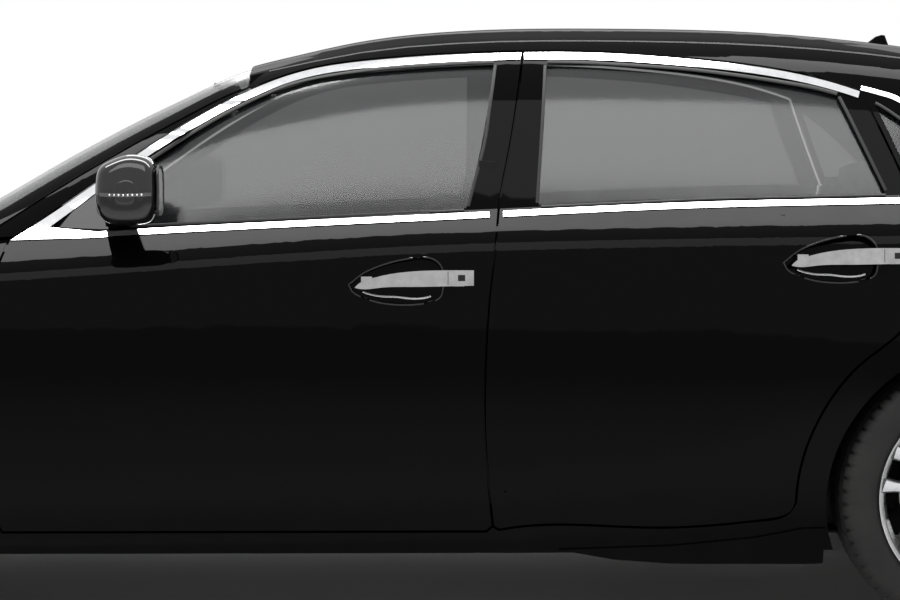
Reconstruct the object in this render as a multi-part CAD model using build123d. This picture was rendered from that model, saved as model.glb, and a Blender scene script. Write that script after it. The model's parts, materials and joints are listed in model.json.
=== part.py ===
from build123d import *
import math
import os

os.makedirs("parts", exist_ok=True)

# ---------------------------------------------------------------- driving sizes (mm)
# Frame: -X is the front, -Y the car's left, +Z up; origin on the ground at mid length.
LENGTH = 4950.0
WIDTH = 1844.0
HEIGHT = 1500.0
FRONT_AXLE_X = -1595.0
REAR_AXLE_X = 1305.0
TYRE_R = 339.0
TYRE_W = 245.0
RIM_R = 249.0
WHEEL_FACE_Y = 900.0
ARCH_R = 374.0
WHEELHOUSE_R = 400.0
REAR_HOUSE_R = 388.0
SHUT_GAP = 6.0
SKIN_T = 2.0
DOOR_T = 68.0
FRAME_T = 34.0
SEAT_GAP = 0.3
GLASS_T = 5.0
SILL_Z = 206.0
FLOOR_Z = 215.0
HINGE_BACK = 46.0
HINGE_Y = WIDTH / 2 - 16.0
HINGE_ZS = (420.0, 790.0)
PILLAR_GAP = 6.0
SILL_IN = 745.0
PIN_R = 5.0
WHEEL_Y = WHEEL_FACE_Y - TYRE_W / 2.0
HALF_L = LENGTH / 2.0


# ---------------------------------------------------------------- small helpers
def curve(*points):
    """Smooth, overshoot-free function through (position, value) pairs."""
    xs = [p[0] for p in points]
    ys = [p[1] for p in points]
    n = len(xs)
    d = [(ys[i + 1] - ys[i]) / (xs[i + 1] - xs[i]) for i in range(n - 1)]
    m = [d[0]]
    for i in range(1, n - 1):
        if d[i - 1] * d[i] <= 0:
            m.append(0.0)
        else:
            left, right = xs[i] - xs[i - 1], xs[i + 1] - xs[i]
            m.append((left + right) / (left / d[i - 1] + right / d[i]))
    m.append(d[-1])

    def value(x):
        if x <= xs[0]:
            return ys[0] + m[0] * (x - xs[0])
        if x >= xs[-1]:
            return ys[-1] + m[-1] * (x - xs[-1])
        i = max(k for k in range(n - 1) if xs[k] <= x)
        h = xs[i + 1] - xs[i]
        t = (x - xs[i]) / h
        return (ys[i] * (1 + 2 * t) * (1 - t) ** 2 + ys[i + 1] * t * t * (3 - 2 * t)
                + h * (m[i] * t * (1 - t) ** 2 + m[i + 1] * t * t * (t - 1)))

    return value


def soft(v, r):
    """Smooth ramp: about 0 below zero and about v above, rounded over r."""
    return v if v > 40 * r else r * math.log1p(math.exp(v / r))


def box(x0, x1, y0, y1, z0, z1):
    return Pos((x0 + x1) / 2, (y0 + y1) / 2, (z0 + z1) / 2) * Box(x1 - x0, y1 - y0, z1 - z0)


def shift(shape, x=0, y=0, z=0):
    return shape.moved(Location((x, y, z)))


def wire_xz(*runs):
    """Closed outline in the XZ plane; a run of two points is a line, more make a spline."""
    edges = []
    for run in runs:
        pts = [Vector(x, 0, z) for x, z in run]
        edges.append(Edge.make_line(*pts) if len(pts) == 2 else Edge.make_spline(pts))
    return Wire(edges)


def prism(outline, y0=-1100.0, y1=0.0):
    """Outline in XZ carried along Y from y0 to y1."""
    face = outline if isinstance(outline, Face) else Face(outline)
    return Solid.extrude(face.moved(Location((0, y0, 0))), Vector(0, y1 - y0, 0))


def poly_xz(points, y0, y1):
    return prism(Wire.make_polygon([Vector(x, 0, z) for x, z in points], close=True), y0, y1)


def poly_xy(points, z0, z1):
    face = Face(Wire.make_polygon([Vector(x, y, z0) for x, y in points], close=True))
    return Solid.extrude(face, Vector(0, 0, z1 - z0))


def poly_yz(points, x0, x1):
    face = Face(Wire.make_polygon([Vector(x0, y, z) for y, z in points], close=True))
    return Solid.extrude(face, Vector(x1 - x0, 0, 0))


def cyl_y(x, z, r, y0, y1):
    return Pos(x, (y0 + y1) / 2, z) * Rot(90, 0, 0) * Cylinder(r, abs(y1 - y0))


def cyl_z(x, y, r, z0, z1):
    return Pos(x, y, (z0 + z1) / 2) * Cylinder(r, z1 - z0)


def rod(a, b, r):
    """Round bar between two points."""
    a, b = Vector(*a), Vector(*b)
    circle = Face(Wire.make_circle(r, Plane(origin=a, z_dir=b - a)))
    return Solid.extrude(circle, b - a)


def right(shape):
    return mirror(shape, about=Plane.XZ)


def both(shape):
    """The left half joined to its mirror image on the centre plane."""
    return shape + right(shape)


def solids_of(shape):
    return list(shape.solids()) if hasattr(shape, "solids") else list(shape)


def biggest(shape):
    return max(solids_of(shape), key=lambda s: s.volume)


def save(name, *shapes):
    found = []
    for shape in shapes:
        found += solids_of(shape)
    shape = found[0] if len(found) == 1 else Compound(found)
    export_step(shape, f"parts/{name}.step")
    volume = sum(s.volume for s in found)
    box_ = shape.bounding_box()
    print(f"{name:22s} {len(found):2d} solids {volume / 1e6:9.2f} l  "
          f"x {box_.min.X:7.0f} {box_.max.X:7.0f}  y {box_.min.Y:7.0f} {box_.max.Y:7.0f}  "
          f"z {box_.min.Z:6.0f} {box_.max.Z:6.0f}")


# ---------------------------------------------------------------- master curves
shoulder_z = curve((-2475, 800), (-1800, 838), (-1052, 886), (118, 960), (978, 976),
                   (1800, 985), (2475, 985))
crease_z = curve((-2475, 350), (-1052, 358), (118, 382), (500, 420), (1000, 560),
                 (1400, 640), (2475, 600))
belt_z = curve((-2475, 690), (-2200, 775), (-1900, 850), (-1600, 900), (-1300, 936),
               (-1038, 958), (-763, 985), (24, 1024), (650, 1052), (1116, 1062),
               (1500, 1072), (1900, 1078), (2300, 1070), (2475, 1060))
deck_z = curve((-2700, 560), (-2475, 655), (-2300, 775), (-2100, 850), (-1800, 925),
               (-1500, 968), (-1300, 990), (0, 1040), (1000, 1090), (1600, 1118),
               (1950, 1122), (2250, 1108), (2475, 1078), (2700, 1040))
front_x = curve((90, 145 - HALF_L), (250, 35 - HALF_L), (430, -HALF_L), (560, 7 - HALF_L),
                (700, 50 - HALF_L), (850, 145 - HALF_L), (1250, 475 - HALF_L))
rear_x = curve((90, HALF_L - 145), (300, HALF_L - 25), (500, HALF_L), (700, HALF_L - 13),
               (900, HALF_L - 40), (1080, HALF_L - 65), (1250, HALF_L - 105))
roof_z = curve((-1700, 880), (-1350, 985), (-1199, 1033), (-965, 1165), (-807, 1252),
               (-650, 1330), (-510, 1393), (-377, 1428), (-219, 1463), (30, 1492),
               (461, 1500), (813, 1491), (1149, 1461), (1258, 1444), (1400, 1380),
               (1600, 1255), (1800, 1120), (2100, 960))
cabin_w = curve((-1700, 780), (-1200, 818), (-600, 845), (200, 852), (1000, 836),
                (1500, 800), (2100, 720))


def half_width(x, z):
    up = z - 620.0
    w = WIDTH / 2 - (13 * (up / 330) ** 2 if up > 0 else 5 * (up / 250) ** 2)
    over = z - shoulder_z(x)
    w -= 1.45 * soft(over, 14) - 1.15 * soft(over - 120, 25)
    return w - 0.26 * soft(crease_z(x) - z, 10)


# ---------------------------------------------------------------- master volumes
def side_row(level):
    """Half plan outline of the lower body along one feature line."""
    kind, v = level

    def z_at(x):
        if kind == "z":
            return v
        if kind == "crease":
            return crease_z(x) + v
        if kind == "shoulder":
            return shoulder_z(x) + v
        low, high = crease_z(x) + 35, shoulder_z(x) - 45
        return low + (high - low) * v

    def corner(x_in, end_x, power, turn):
        c, s = math.cos(turn), math.sin(turn)
        x = x_in
        for _ in range(4):
            x = x_in + (end_x(z_at(x)) - x_in) * abs(s) ** (2 / power)
        y = half_width(x, z_at(x)) * abs(c) ** (2 / power)
        return (x, -y if c >= 0 else y, z_at(x))

    steps, middle = 9, 14
    front = [corner(-1500, front_x, 3.0, math.pi / 2 * (1 - i / steps))
             for i in range(-1, steps)]
    mid = [-1500 + 3000 * i / middle for i in range(middle + 1)]
    mid = [(x, -half_width(x, z_at(x)), z_at(x)) for x in mid]
    rear = [corner(1500, rear_x, 3.4, math.pi / 2 * (1 - i / steps))
            for i in range(steps - 1, -2, -1)]
    return front + mid + rear


def side_volume():
    levels = [("z", 90), ("z", 150), ("z", 205)]
    levels += [("crease", v) for v in (-90, -30, 0, 35)]
    levels += [("flank", 0.33), ("flank", 0.66)]
    levels += [("shoulder", v) for v in (-45, -18, 0, 18, 45, 80, 125, 175)]
    levels += [("z", 1230), ("z", 1300)]
    rows = [side_row(level) for level in levels]
    run = [0.0]
    for a, b in zip(rows[6], rows[6][1:]):
        run.append(run[-1] + math.dist(a, b))
    share = [r / run[-1] for r in run]
    wires = []
    for row in rows:
        edge = Edge.make_spline([Vector(*p) for p in row], parameters=share)
        wires.append(Wire([edge, Edge.make_line(edge @ 1, edge @ 0)]))
    return Solid.make_loft(wires)


def lofted_cap(xs, ys, height, base_z):
    """Volume under the surface height(x, y), lofted front to back."""
    share = [i / (len(ys) - 1) for i in range(len(ys))]
    wires = []
    for x in xs:
        edge = Edge.make_spline([Vector(x, y, height(x, y)) for y in ys], parameters=share)
        a, b = Vector(x, ys[-1], base_z), Vector(x, ys[0], base_z)
        wires.append(Wire([edge, Edge.make_line(edge @ 1, a), Edge.make_line(a, b),
                           Edge.make_line(b, edge @ 0)]))
    return Solid.make_loft(wires)


def deck_volume():
    def height(x, y):
        return deck_z(x) - (deck_z(x) - belt_z(x)) * abs(y / 790) ** 2.2

    xs = [-2600 + 200 * i for i in range(27)]
    ys = [-1150 + 1250 * i / 13 for i in range(14)]
    return lofted_cap(xs, ys, height, 60)


def cabin_section(x):
    base = 700.0
    high = roof_z(x) - base
    pts = []
    count = 14
    for i in range(count + 1):
        turn = math.pi / 2 * (i / count) ** 1.35
        c, s = math.cos(turn) ** 0.36, math.sin(turn) ** 0.36
        z = base + high * s
        y = (cabin_w(x) - 0.25 * (z - base)) * c
        z -= 22 * (y / 560) ** 2 * s ** 3 * high / 790
        pts.append(Vector(x, -y, z))
    mirror_pts = [Vector(x, -p.Y, p.Z) for p in reversed(pts[:-1])]
    pts += mirror_pts
    share = [i / (len(pts) - 1) for i in range(len(pts))]
    edge = Edge.make_spline(pts, parameters=share)
    return Wire([edge, Edge.make_line(edge @ 1, edge @ 0)])


def cabin_volume():
    xs = [-1650, -1500, -1350, -1200, -1080, -965, -880, -807, -730, -650, -580, -510, -440,
          -377, -219, 30, 461, 813, 1149, 1300, 1400, 1500, 1600, 1700, 1800, 1950]
    return Solid.make_loft([cabin_section(x) for x in xs])




def cabin_y(x, z):
    """Half width of the upper body at a height."""
    base, high = 700.0, roof_z(x) - 700.0
    low, up = 0.0, math.pi / 2
    for _ in range(40):
        mid = (low + up) / 2
        c, s = math.cos(mid) ** 0.36, math.sin(mid) ** 0.36
        y = (cabin_w(x) - 0.25 * high * s) * c
        at = base + high * s - 22 * (y / 560) ** 2 * s ** 3 * high / 790
        low, up = (mid, up) if at < z else (low, mid)
    return y


SIDE = side_volume()
DECK = deck_volume()
CABIN = cabin_volume()
LOW = SIDE & DECK


def layer(volume, region, outer, inner):
    """Wall of a master volume between two inward shifts, inside a region."""
    first = volume if outer == (0, 0, 0) else shift(volume, *outer)
    return (first & region) - shift(volume, *inner)


def y_layer(volume, region, outer, inner):
    return layer(volume, region, (0, outer, 0), (0, inner, 0))


# ---------------------------------------------------------------- side outlines (XZ)
DOOR_SPLIT = [(123, 276), (111, 392), (103, 511), (103, 630), (108, 748), (118, 867),
              (129, 949), (138, 1031), (166, 1177), (191, 1325), (205, 1421)]
FRONT_TOP = [(205, 1421), (25, 1415), (-167, 1401), (-338, 1375), (-452, 1335),
             (-590, 1263), (-758, 1155), (-1038, 961)]
FRONT_LEAD = [(-1038, 961), (-1060, 860), (-1076, 720), (-1082, 560), (-1080, 420),
              (-1068, 310), (-1050, 264)]
DOOR_EDGE_R = 450.0


def around_rear_wheel(radius, start, end, steps=6):
    """Points on a circle about the rear wheel; angles from straight up toward the front."""
    turns = [math.radians(start + (end - start) * i / steps) for i in range(steps + 1)]
    return [(REAR_AXLE_X - radius * math.sin(t), TYRE_R + radius * math.cos(t))
            for t in turns]


def inset(points, amount):
    """A line of points moved square to itself, to the right of its own direction."""
    out = []
    for i, (x, z) in enumerate(points):
        x0, z0 = points[max(i - 1, 0)]
        x1, z1 = points[min(i + 1, len(points) - 1)]
        run = math.hypot(x1 - x0, z1 - z0)
        out.append((x + amount * (z1 - z0) / run, z - amount * (x1 - x0) / run))
    return out


def belt_line(x0, x1, rise, count=4):
    """Points along the belt at a height over the moulding's top edge."""
    xs = [x0 + (x1 - x0) * i / count for i in range(count + 1)]
    return [(x, belt_z(x) + rise) for x in xs]


def front_door_outline():
    return wire_xz(FRONT_TOP, FRONT_LEAD, [(-1050, 264), (109, 264)],
                   [(109, 264), (123, 276)], DOOR_SPLIT)


def rear_door_outline():
    split = [(x + SHUT_GAP, z) for x, z in DOOR_SPLIT]
    top = [split[-1], (400, 1419), (649, 1401), (899, 1364), (1042, 1322)]
    back = [(1152, 1062), (1150, 960), (1134, 850), (1100, 752)]
    arch = [back[-1]] + around_rear_wheel(DOOR_EDGE_R, 33, 91)
    bottom = [arch[-1], (846, 308), (790, 289), (500, 272), (142, 268)]
    return wire_xz(split, top, [(1042, 1322), (1152, 1062)], back, arch, bottom,
                   [(142, 268), split[0]])


FRONT_DOOR = Face(front_door_outline())
REAR_DOOR = Face(rear_door_outline())


def near(point, run):
    return min((point - run[0]).length, (point - run[-1]).length)


def grown(face, amount):
    """The outline moved out (or in) by an amount, each edge redrawn as a plain curve."""
    kind = Kind.ARC if amount > 0 else Kind.INTERSECTION
    wire = offset(face, amount=amount, kind=kind).face().outer_wire()
    runs = []
    for edge in wire.order_edges():
        if edge.length < 0.5:
            continue
        count = 1 if edge.geom_type == GeomType.LINE else max(3, min(12, round(edge.length / 60)))
        runs.append([edge @ (i / count) for i in range(count + 1)])
    chained = [runs[0] if near(runs[0][-1], runs[1]) < near(runs[0][0], runs[1])
               else runs[0][::-1]]
    for run in runs[1:]:
        tip = chained[-1][-1]
        run = run if (run[0] - tip).length < (run[-1] - tip).length else run[::-1]
        chained.append([tip] + run[1:])
    chained[-1][-1] = chained[0][0]
    edges = [Edge.make_line(*run) if len(run) == 2 else Edge.make_spline(run) for run in chained]
    return Face(Wire(edges))


STRIP_W = 18.0
SEAL_W = 12.0
GLASS_IN = STRIP_W + SEAL_W
GLASS_RISE = 9.0
REAR_TOP = [(205 + SHUT_GAP, 1421), (400, 1419), (649, 1401), (899, 1364), (1042, 1322)]
SAIL_BACK = -770.0
FRONT_HEAD = [q for q in inset(FRONT_TOP[::-1], GLASS_IN) if SAIL_BACK < q[0] < 120]
REAR_HEAD = [q for q in inset(REAR_TOP, GLASS_IN) if 280 < q[0] < 960]
FRONT_HEAD = [(SAIL_BACK, FRONT_HEAD[0][1] - 12)] + FRONT_HEAD + [(134, 1389)]
REAR_HEAD = [(268, 1390)] + REAR_HEAD + [(985, 1311)]
FRONT_GLASS = Face(wire_xz(
    FRONT_HEAD, [(134, 1389), (104, 1200), (64, belt_z(64) + GLASS_RISE)],
    belt_line(64, SAIL_BACK, GLASS_RISE),
    [(SAIL_BACK, belt_z(SAIL_BACK) + GLASS_RISE), FRONT_HEAD[0]]))
REAR_GLASS = Face(wire_xz(
    REAR_HEAD, [(985, 1311), (1088, belt_z(1088) + GLASS_RISE)],
    belt_line(1088, 240, GLASS_RISE),
    [(240, belt_z(240) + GLASS_RISE), (254, 1240), (268, 1390)]))
QUARTER_GLASS = Face(wire_xz(
    [(1078, 1286), (1110, 1266)], [(1110, 1266), (1205, 1190), (1286, 1102)],
    [(1286, 1102), (1160, 1092)], [(1160, 1092), (1078, 1286)]))


# ---------------------------------------------------------------- doors
def belt_split(up):
    """Region below (or above) the line where doors turn from box to window frame."""
    line = [(-1300, 952), (-1038, 967), (24, 1030), (650, 1058), (1116, 1068), (1400, 1072)]
    edge = [(1400, 1700), (-1300, 1700)] if up else [(1400, 60), (-1300, 60)]
    return poly_xz(line + edge, -1100, 0)


CUP_DEPTH = 24.0
HANDLE_STEP = (1035.0, 52.0)


def cup_outline(dx, dz):
    """Finger recess behind the handle: pointed in front, full and round behind."""
    top = [(-216, 858), (-170, 890), (-95, 914), (-28, 920), (2, 896)]
    low = [(2, 896), (4, 850), (-8, 824), (-60, 812), (-140, 816), (-200, 836), (-216, 858)]
    return Face(wire_xz([(x + dx, z + dz) for x, z in top], [(x + dx, z + dz) for x, z in low]))


def door_panel(outline, glass, lead, cup_at):
    """Outer skin to the shut line, a set-back box below the belt and a frame above."""
    skin = prism(outline)
    inner = prism(grown(outline, -13))
    clear = box(lead - 80, lead + HINGE_BACK + 12, -1100, 0, 0, 1020)
    shape = y_layer(SIDE, skin & belt_split(False), 0, SKIN_T)
    shape += y_layer(SIDE, (inner & belt_split(False)) - clear, 0, DOOR_T)
    shape += y_layer(CABIN, skin & belt_split(True), 0, SKIN_T + 1)
    shape += y_layer(CABIN, inner & belt_split(True), 0, FRAME_T)
    cup = prism(cup_outline(*cup_at))
    shape -= cup - shift(SIDE, y=CUP_DEPTH)
    for z in HINGE_ZS:
        shape += hinge_eye(lead + HINGE_BACK, z)
        shape -= cyl_z(lead + HINGE_BACK, -HINGE_Y, PIN_R + SEAT_GAP, z - 60, z + 60)
    return biggest(shape - prism(glass))


def hinge_eye(x, z):
    """Door half of a hinge: an eye round the pin and an arm into the door box."""
    eye = cyl_z(x, -HINGE_Y, 9.0, z + SEAT_GAP, z + 30)
    return eye + box(x, x + 20, -HINGE_Y - 5, -HINGE_Y + 9, z + SEAT_GAP, z + 30)


def hinge_leaf(x, z):
    """Body half: a leaf straight in to the pillar with the pin standing on its end."""
    leaf = cyl_z(x, -HINGE_Y, 9.0, z - 14, z) + box(
        x - 5, x + 6, -HINGE_Y, -HINGE_Y + 80, z - 14, z)
    return leaf + cyl_z(x, -HINGE_Y, PIN_R, z - 14, z + 32)


def door_glass(glass, depth):
    """Pane inside the frame, its edge SEAT_GAP from the frame all round."""
    pane = prism(grown(glass, -SEAT_GAP))
    return biggest(y_layer(CABIN, pane, depth, depth + GLASS_T))


# ---------------------------------------------------------------- body sides
BOOT_FRONT_X = 1840.0
DECK_SIDE_Y = 691.0
LID_SIDE_Y = 640.0
TAIL_Z = 770.0
SILL_FRONT = -1088.0
ROOF_FRONT_X = -480.0
FRONT_AXIS_X = -1082 + HINGE_BACK
REAR_AXIS_X = 109 + HINGE_BACK
SCREEN_SIDE = [(-1385, -690), (-1250, -742), (-1120, -728), (-900, -672), (-700, -622),
               (ROOF_FRONT_X, -566)]
ROOF_SIDE_Y = 500.0
ROOF_X = (ROOF_FRONT_X, 1240.0)
REAR_SCREEN_END = BOOT_FRONT_X - 50.0
REAR_SCREEN_SIDE = [(1240, -574), (1500, -640), (1700, -680), (REAR_SCREEN_END, -690)]
DOORWAY = prism(grown(FRONT_DOOR, SHUT_GAP)) + prism(grown(REAR_DOOR, SHUT_GAP))


def rear_arch(y0=-1100, y1=-500, r=ARCH_R):
    return cyl_y(REAR_AXLE_X, TYRE_R, r, y0, y1)


def front_arch(y0=-1100, y1=-500, r=ARCH_R):
    return cyl_y(FRONT_AXLE_X, TYRE_R, r, y0, y1)


def body_side():
    roof_edge = [(-440, -ROOF_SIDE_Y), (1200, -ROOF_SIDE_Y)]
    plan = [(-1250, -900)] + SCREEN_SIDE[1:] + roof_edge + REAR_SCREEN_SIDE + [(REAR_SCREEN_END, -900)]
    band = poly_xy(plan, 940, 1500) & belt_split(True)
    upper = layer(CABIN, band & box(-1300, 650, -900, 0, 900, 1500),
                  (0, 0, 0), (20, FRAME_T, -24))
    upper += layer(CABIN, band & box(600, 1800, -900, 0, 900, 1500),
                   (0, 0, 0), (-24, FRAME_T, -24))
    wing = [(x, y + SEAT_GAP) for x, y in FENDER_EDGE]
    upper -= LOW & poly_xy([(-2160, -1100)] + wing + [(-1000, -1100)], 100, 1200)
    quarter = layer(LOW, box(850, 2100, -1100, -DECK_SIDE_Y, SILL_Z, 1200),
                    (0, 0, 0), (0, 60, -30))
    tail = box(BOOT_FRONT_X, 2600, -1100, -LID_SIDE_Y - SHUT_GAP, TAIL_Z, 1200)
    quarter += layer(LOW, tail, (0, 0, 0), (-40, 60, -30))
    quarter -= tail_lamp_region(0)
    sill = SIDE & box(SILL_FRONT, 935, -1100, -SILL_IN, SILL_Z, 330)
    skin = (upper + quarter + sill) - DOORWAY - rear_arch() - prism(QUARTER_GLASS)
    skin += layer(SIDE, poly_xz(SKIRT, -1100, -SILL_IN), (0, -5, 0), (0, 22, 0)) - rear_arch()
    skin -= rear_arch(r=REAR_HOUSE_R + 4 + SEAT_GAP) & shift(LOW, y=SKIN_T, z=-SKIN_T)
    skin -= box(BOOT_FRONT_X - SHUT_GAP, 2600, -LID_SIDE_Y - SHUT_GAP, 10, 700, 1200)
    inside = DOOR_T + PILLAR_GAP
    frame = y_layer(SIDE, box(72, 188, -1100, -SILL_IN, SILL_Z, 900), inside, 400)
    frame += y_layer(SIDE, box(72, 188, -1100, 0, 850, 1040), inside, inside + 60)
    frame += y_layer(CABIN, box(84, 200, -1100, -ROOF_SIDE_Y, 990, 1446), FRAME_T + 8, FRAME_T + 56)
    frame += y_layer(SIDE, box(-1164, -1020, -1100, -SILL_IN, SILL_Z, 960), inside, 400)
    frame += y_layer(SIDE, box(-1164, -1020, -1100, -SILL_IN, SILL_Z, 256), 4, 400)
    post = y_layer(CABIN, poly_xz([(-1163, 906), (-1020, 906), (-1020, 980), (-1060, 1010),
                                   (-1163, 1010)], -1100, 0), 30, 110)
    frame += post & shift(CABIN, x=8, z=-13 - SEAT_GAP)
    for x in (FRONT_AXIS_X, REAR_AXIS_X):
        for z in HINGE_ZS:
            frame += hinge_leaf(x, z)
    return biggest(skin + frame)


def quarter_glass():
    return y_layer(CABIN, prism(grown(QUARTER_GLASS, -SEAT_GAP)), 12, 12 + GLASS_T)


SKIRT = [(285, SILL_Z + 8), (420, 188), (560, 176), (917, 170), (932, 172), (932, 262),
         (880, 262), (760, 240), (560, 222)]


def tail_lamp_region(gap):
    """Lamp opening that wraps the rear corner, pointed forward along the side."""
    low, high = TAIL_Z + 26 + gap, 938 - gap
    side = [(2128 + 2 * gap, 902), (2250, high - 6), (2600, high), (2600, low), (2330, low),
            (2210, 846 + gap)]
    return poly_xz(side, -1100, -LID_SIDE_Y - SHUT_GAP - 14 - gap)


FENDER_EDGE = [(-2160, -697), (-2054, -771), (-1900, -790), (-1240, -790), (-1160, -764), (-1000, -764)]


def fender():
    region = box(-2160, -1000, -1100, -600, SILL_Z, 1100) - DOORWAY - front_arch()
    region -= box(SILL_FRONT - SEAT_GAP, -900, -1100, -600, 0, 400)
    edge = poly_xy([(-2160, -1100)] + FENDER_EDGE + [(-1000, -1100)], 100, 1200)
    return biggest(layer(LOW, region & edge, (0, 0, 0), (0, SKIN_T, -SKIN_T)))


# ---------------------------------------------------------------- hood, boot lid, roof
HOOD_REAR = -1430.0
HOOD_AXIS = (HOOD_REAR + 6, 948.0)
BOOT_FRONT = BOOT_FRONT_X
BOOT_AXIS = (BOOT_FRONT - 4, 1085.0)
LID_HINGE_Y = 560.0
STRIP_DROP = 34.0
SHELF_Z = 1024.0
HOOD_PLAN = [(-2330, 0), (-2310, -300), (-2240, -560), (-2150, -700), (-2050, -765),
             (-1900, -784), (HOOD_REAR, -784), (HOOD_REAR, 0)]
BOOT_PLAN = [(BOOT_FRONT, 0), (BOOT_FRONT, -600), (BOOT_FRONT + 14, -LID_SIDE_Y + 10),
             (BOOT_FRONT + 30, -LID_SIDE_Y), (2600, -LID_SIDE_Y), (2600, 0)]


def lid_eye(axis, reach):
    """Hinge eye hung under a lid, bored for the pin."""
    x, z = axis
    y0, y1 = -LID_HINGE_Y, -LID_HINGE_Y + 30
    return cyl_y(x, z, 9, y0, y1) + box(min(x, x + reach), max(x, x + reach), y0, y1, z - 2, z + 14)


def lid_pin(axis):
    x, z = axis
    return cyl_y(x, z, PIN_R, -LID_HINGE_Y - 12, -LID_HINGE_Y + 34)


def bored(shape, axis):
    shape -= cyl_y(axis[0], axis[1], PIN_R + SEAT_GAP, -LID_HINGE_Y - 5, -LID_HINGE_Y + 40)
    return shape - cyl_y(axis[0], axis[1], 16, -LID_HINGE_Y - 18, -LID_HINGE_Y)


def hood():
    half = layer(LOW, poly_xy(HOOD_PLAN, 600, 1200), (0, 0, 0), (12, 12, -22))
    return both(biggest(bored(half + lid_eye(HOOD_AXIS, -40), HOOD_AXIS)))


def boot_lid():
    half = layer(LOW, poly_xy(BOOT_PLAN, TAIL_Z, 1200), (0, 0, 0), (-24, 0, -24))
    half -= plate_recess()
    return both(biggest(bored(half + lid_eye(BOOT_AXIS, 40), BOOT_AXIS)))


def plate_recess():
    """Shallow bay for the number plate in the lid's rear face."""
    return box(2000, 2600, -282, 0, 812, 942) - shift(LOW, x=-12)


def aerial_fin():
    outline = [(1149, 1454), (1166, 1466), (1190, 1484), (1203, 1488), (1212, 1487), (1226, 1450),
               (1226, 1430), (1149, 1440)]
    return poly_xz(outline, -11, 0)


def roof_panel():
    region = box(*ROOF_X, -ROOF_SIDE_Y + SEAT_GAP, 0, 1200, 1600)
    panel = layer(CABIN, region, (0, 0, 0), (0, 0, -28)) - DOORWAY
    return both(biggest(panel + aerial_fin()))


def seated_plan(line, x_end):
    """A side line moved in by the seat gap and closed on the centre plane."""
    return [(x, y + SEAT_GAP) for x, y in line] + [(x_end, 0)]


def windscreen():
    line = SCREEN_SIDE[:-1] + [(ROOF_X[0] - SEAT_GAP, -566)]
    plan = seated_plan(line, ROOF_X[0] - SEAT_GAP) + [(-1400, 0), (-1398, -400)]
    pane = layer(CABIN, poly_xy(plan, 800, 1500), (4, 0, -6), (8, 0, -13))
    return both(biggest(pane - shift(LOW, z=-46 + SEAT_GAP)))


def rear_window():
    line = [(ROOF_X[1] + SEAT_GAP, -574)] + REAR_SCREEN_SIDE[1:]
    plan = seated_plan(line, REAR_SCREEN_END) + [(ROOF_X[1] + SEAT_GAP, 0)]
    pane = layer(CABIN, poly_xy(plan, 900, 1500), (-4, 0, -6), (-8, 0, -13))
    return both(biggest(pane - shift(LOW, z=-STRIP_DROP + SEAT_GAP)))


def rear_deck():
    """Gutter strip between the rear screen and the boot lid, with the lid's pins."""
    strip = layer(LOW, box(1700, BOOT_FRONT - 24, -DECK_SIDE_Y + SEAT_GAP, 0, 1000, 1200),
                  (0, 0, -STRIP_DROP), (0, 0, -STRIP_DROP - 16))
    riser = box(1786, 1798, -540, 0, SHELF_Z + SEAT_GAP, 1085)
    plate = box(BOOT_FRONT - 40, BOOT_FRONT + 4, -LID_HINGE_Y - 12, -LID_HINGE_Y - SEAT_GAP,
                1040, 1086)
    riser = riser & shift(LOW, z=-STRIP_DROP - 1)
    return both(biggest(strip + riser + plate + lid_pin(BOOT_AXIS)))


def cowl():
    plan = [(HOOD_REAR + 6, 0), (HOOD_REAR + 6, -790 + SEAT_GAP), (-1240, -790 + SEAT_GAP),
            (-1164 - SEAT_GAP, -764 + SEAT_GAP), (-1164 - SEAT_GAP, 0)]
    tray = layer(LOW, poly_xy(plan, 800, 1200), (0, 0, -46), (0, 0, -66))
    under = (8, 0, -13 - SEAT_GAP)
    stand = layer(CABIN, box(-1394, -1300, -690, 0, 905, 1100), under, (60, 0, -60))
    bracket = box(HOOD_AXIS[0] - 6, HOOD_AXIS[0] + 30, -LID_HINGE_Y - 12,
                  -LID_HINGE_Y - SEAT_GAP, 905, HOOD_AXIS[1] + 6)
    notch = box(-1500, HOOD_REAR + 30, -LID_HINGE_Y - SEAT_GAP, -LID_HINGE_Y + 40, 900, 1000)
    return both(biggest((tray - notch) + stand + bracket + lid_pin(HOOD_AXIS)))


# ---------------------------------------------------------------- bumpers and lamps
NOSE_X = -2160.0 - SEAT_GAP
TAIL_X = 2100.0 + SEAT_GAP
GRILLE = (420.0, 300.0, 610.0)
GRILLE_BARS = 10
NOSE_SWEEP = 32.0


INTAKE = (560.0, 200.0, 262.0)
INTAKE_BARS = 3
PLATE = (262.0, 338.0, 450.0)
TIP_Y, TIP_Z, TIP_R = 480.0, 268.0, 42.0


def front_bumper():
    region = box(-2600, NOSE_X, -1100, 0, 170, 1100)
    region -= poly_xy([(x - 6 if x < -2200 else x, y - 6) for x, y in HOOD_PLAN[:5]]
                      + [(-1990, -700), (-1990, 10), (-2336, 10)], 600, 1200)
    half = layer(LOW, region, (0, 0, 0), (30, 30, -4))
    for y, z0, z1 in (GRILLE, INTAKE):
        half = half - box(-2600, -2200, -y, 10, z0, z1)
    half = half - front_arch() - headlamp_region(0)
    half -= fog_bay()
    return both(biggest(half))


def headlamp_region(gap):
    """Swept-back lamp opening seen from the front, carried back through the corner."""
    outline = [(-462 - gap, 652 + gap), (-470 - gap, 702 - gap), (-600, 726 - gap),
               (-740, 738 - gap), (-860, 742 - gap), (-860, 690 + gap), (-730, 664 + gap),
               (-600, 652 + gap)]
    return poly_yz(outline, -2600, NOSE_X - 30 - gap)


def headlamp():
    return biggest(layer(LOW, headlamp_region(SEAT_GAP), (0, 0, 0), (60, 60, 0)))


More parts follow.
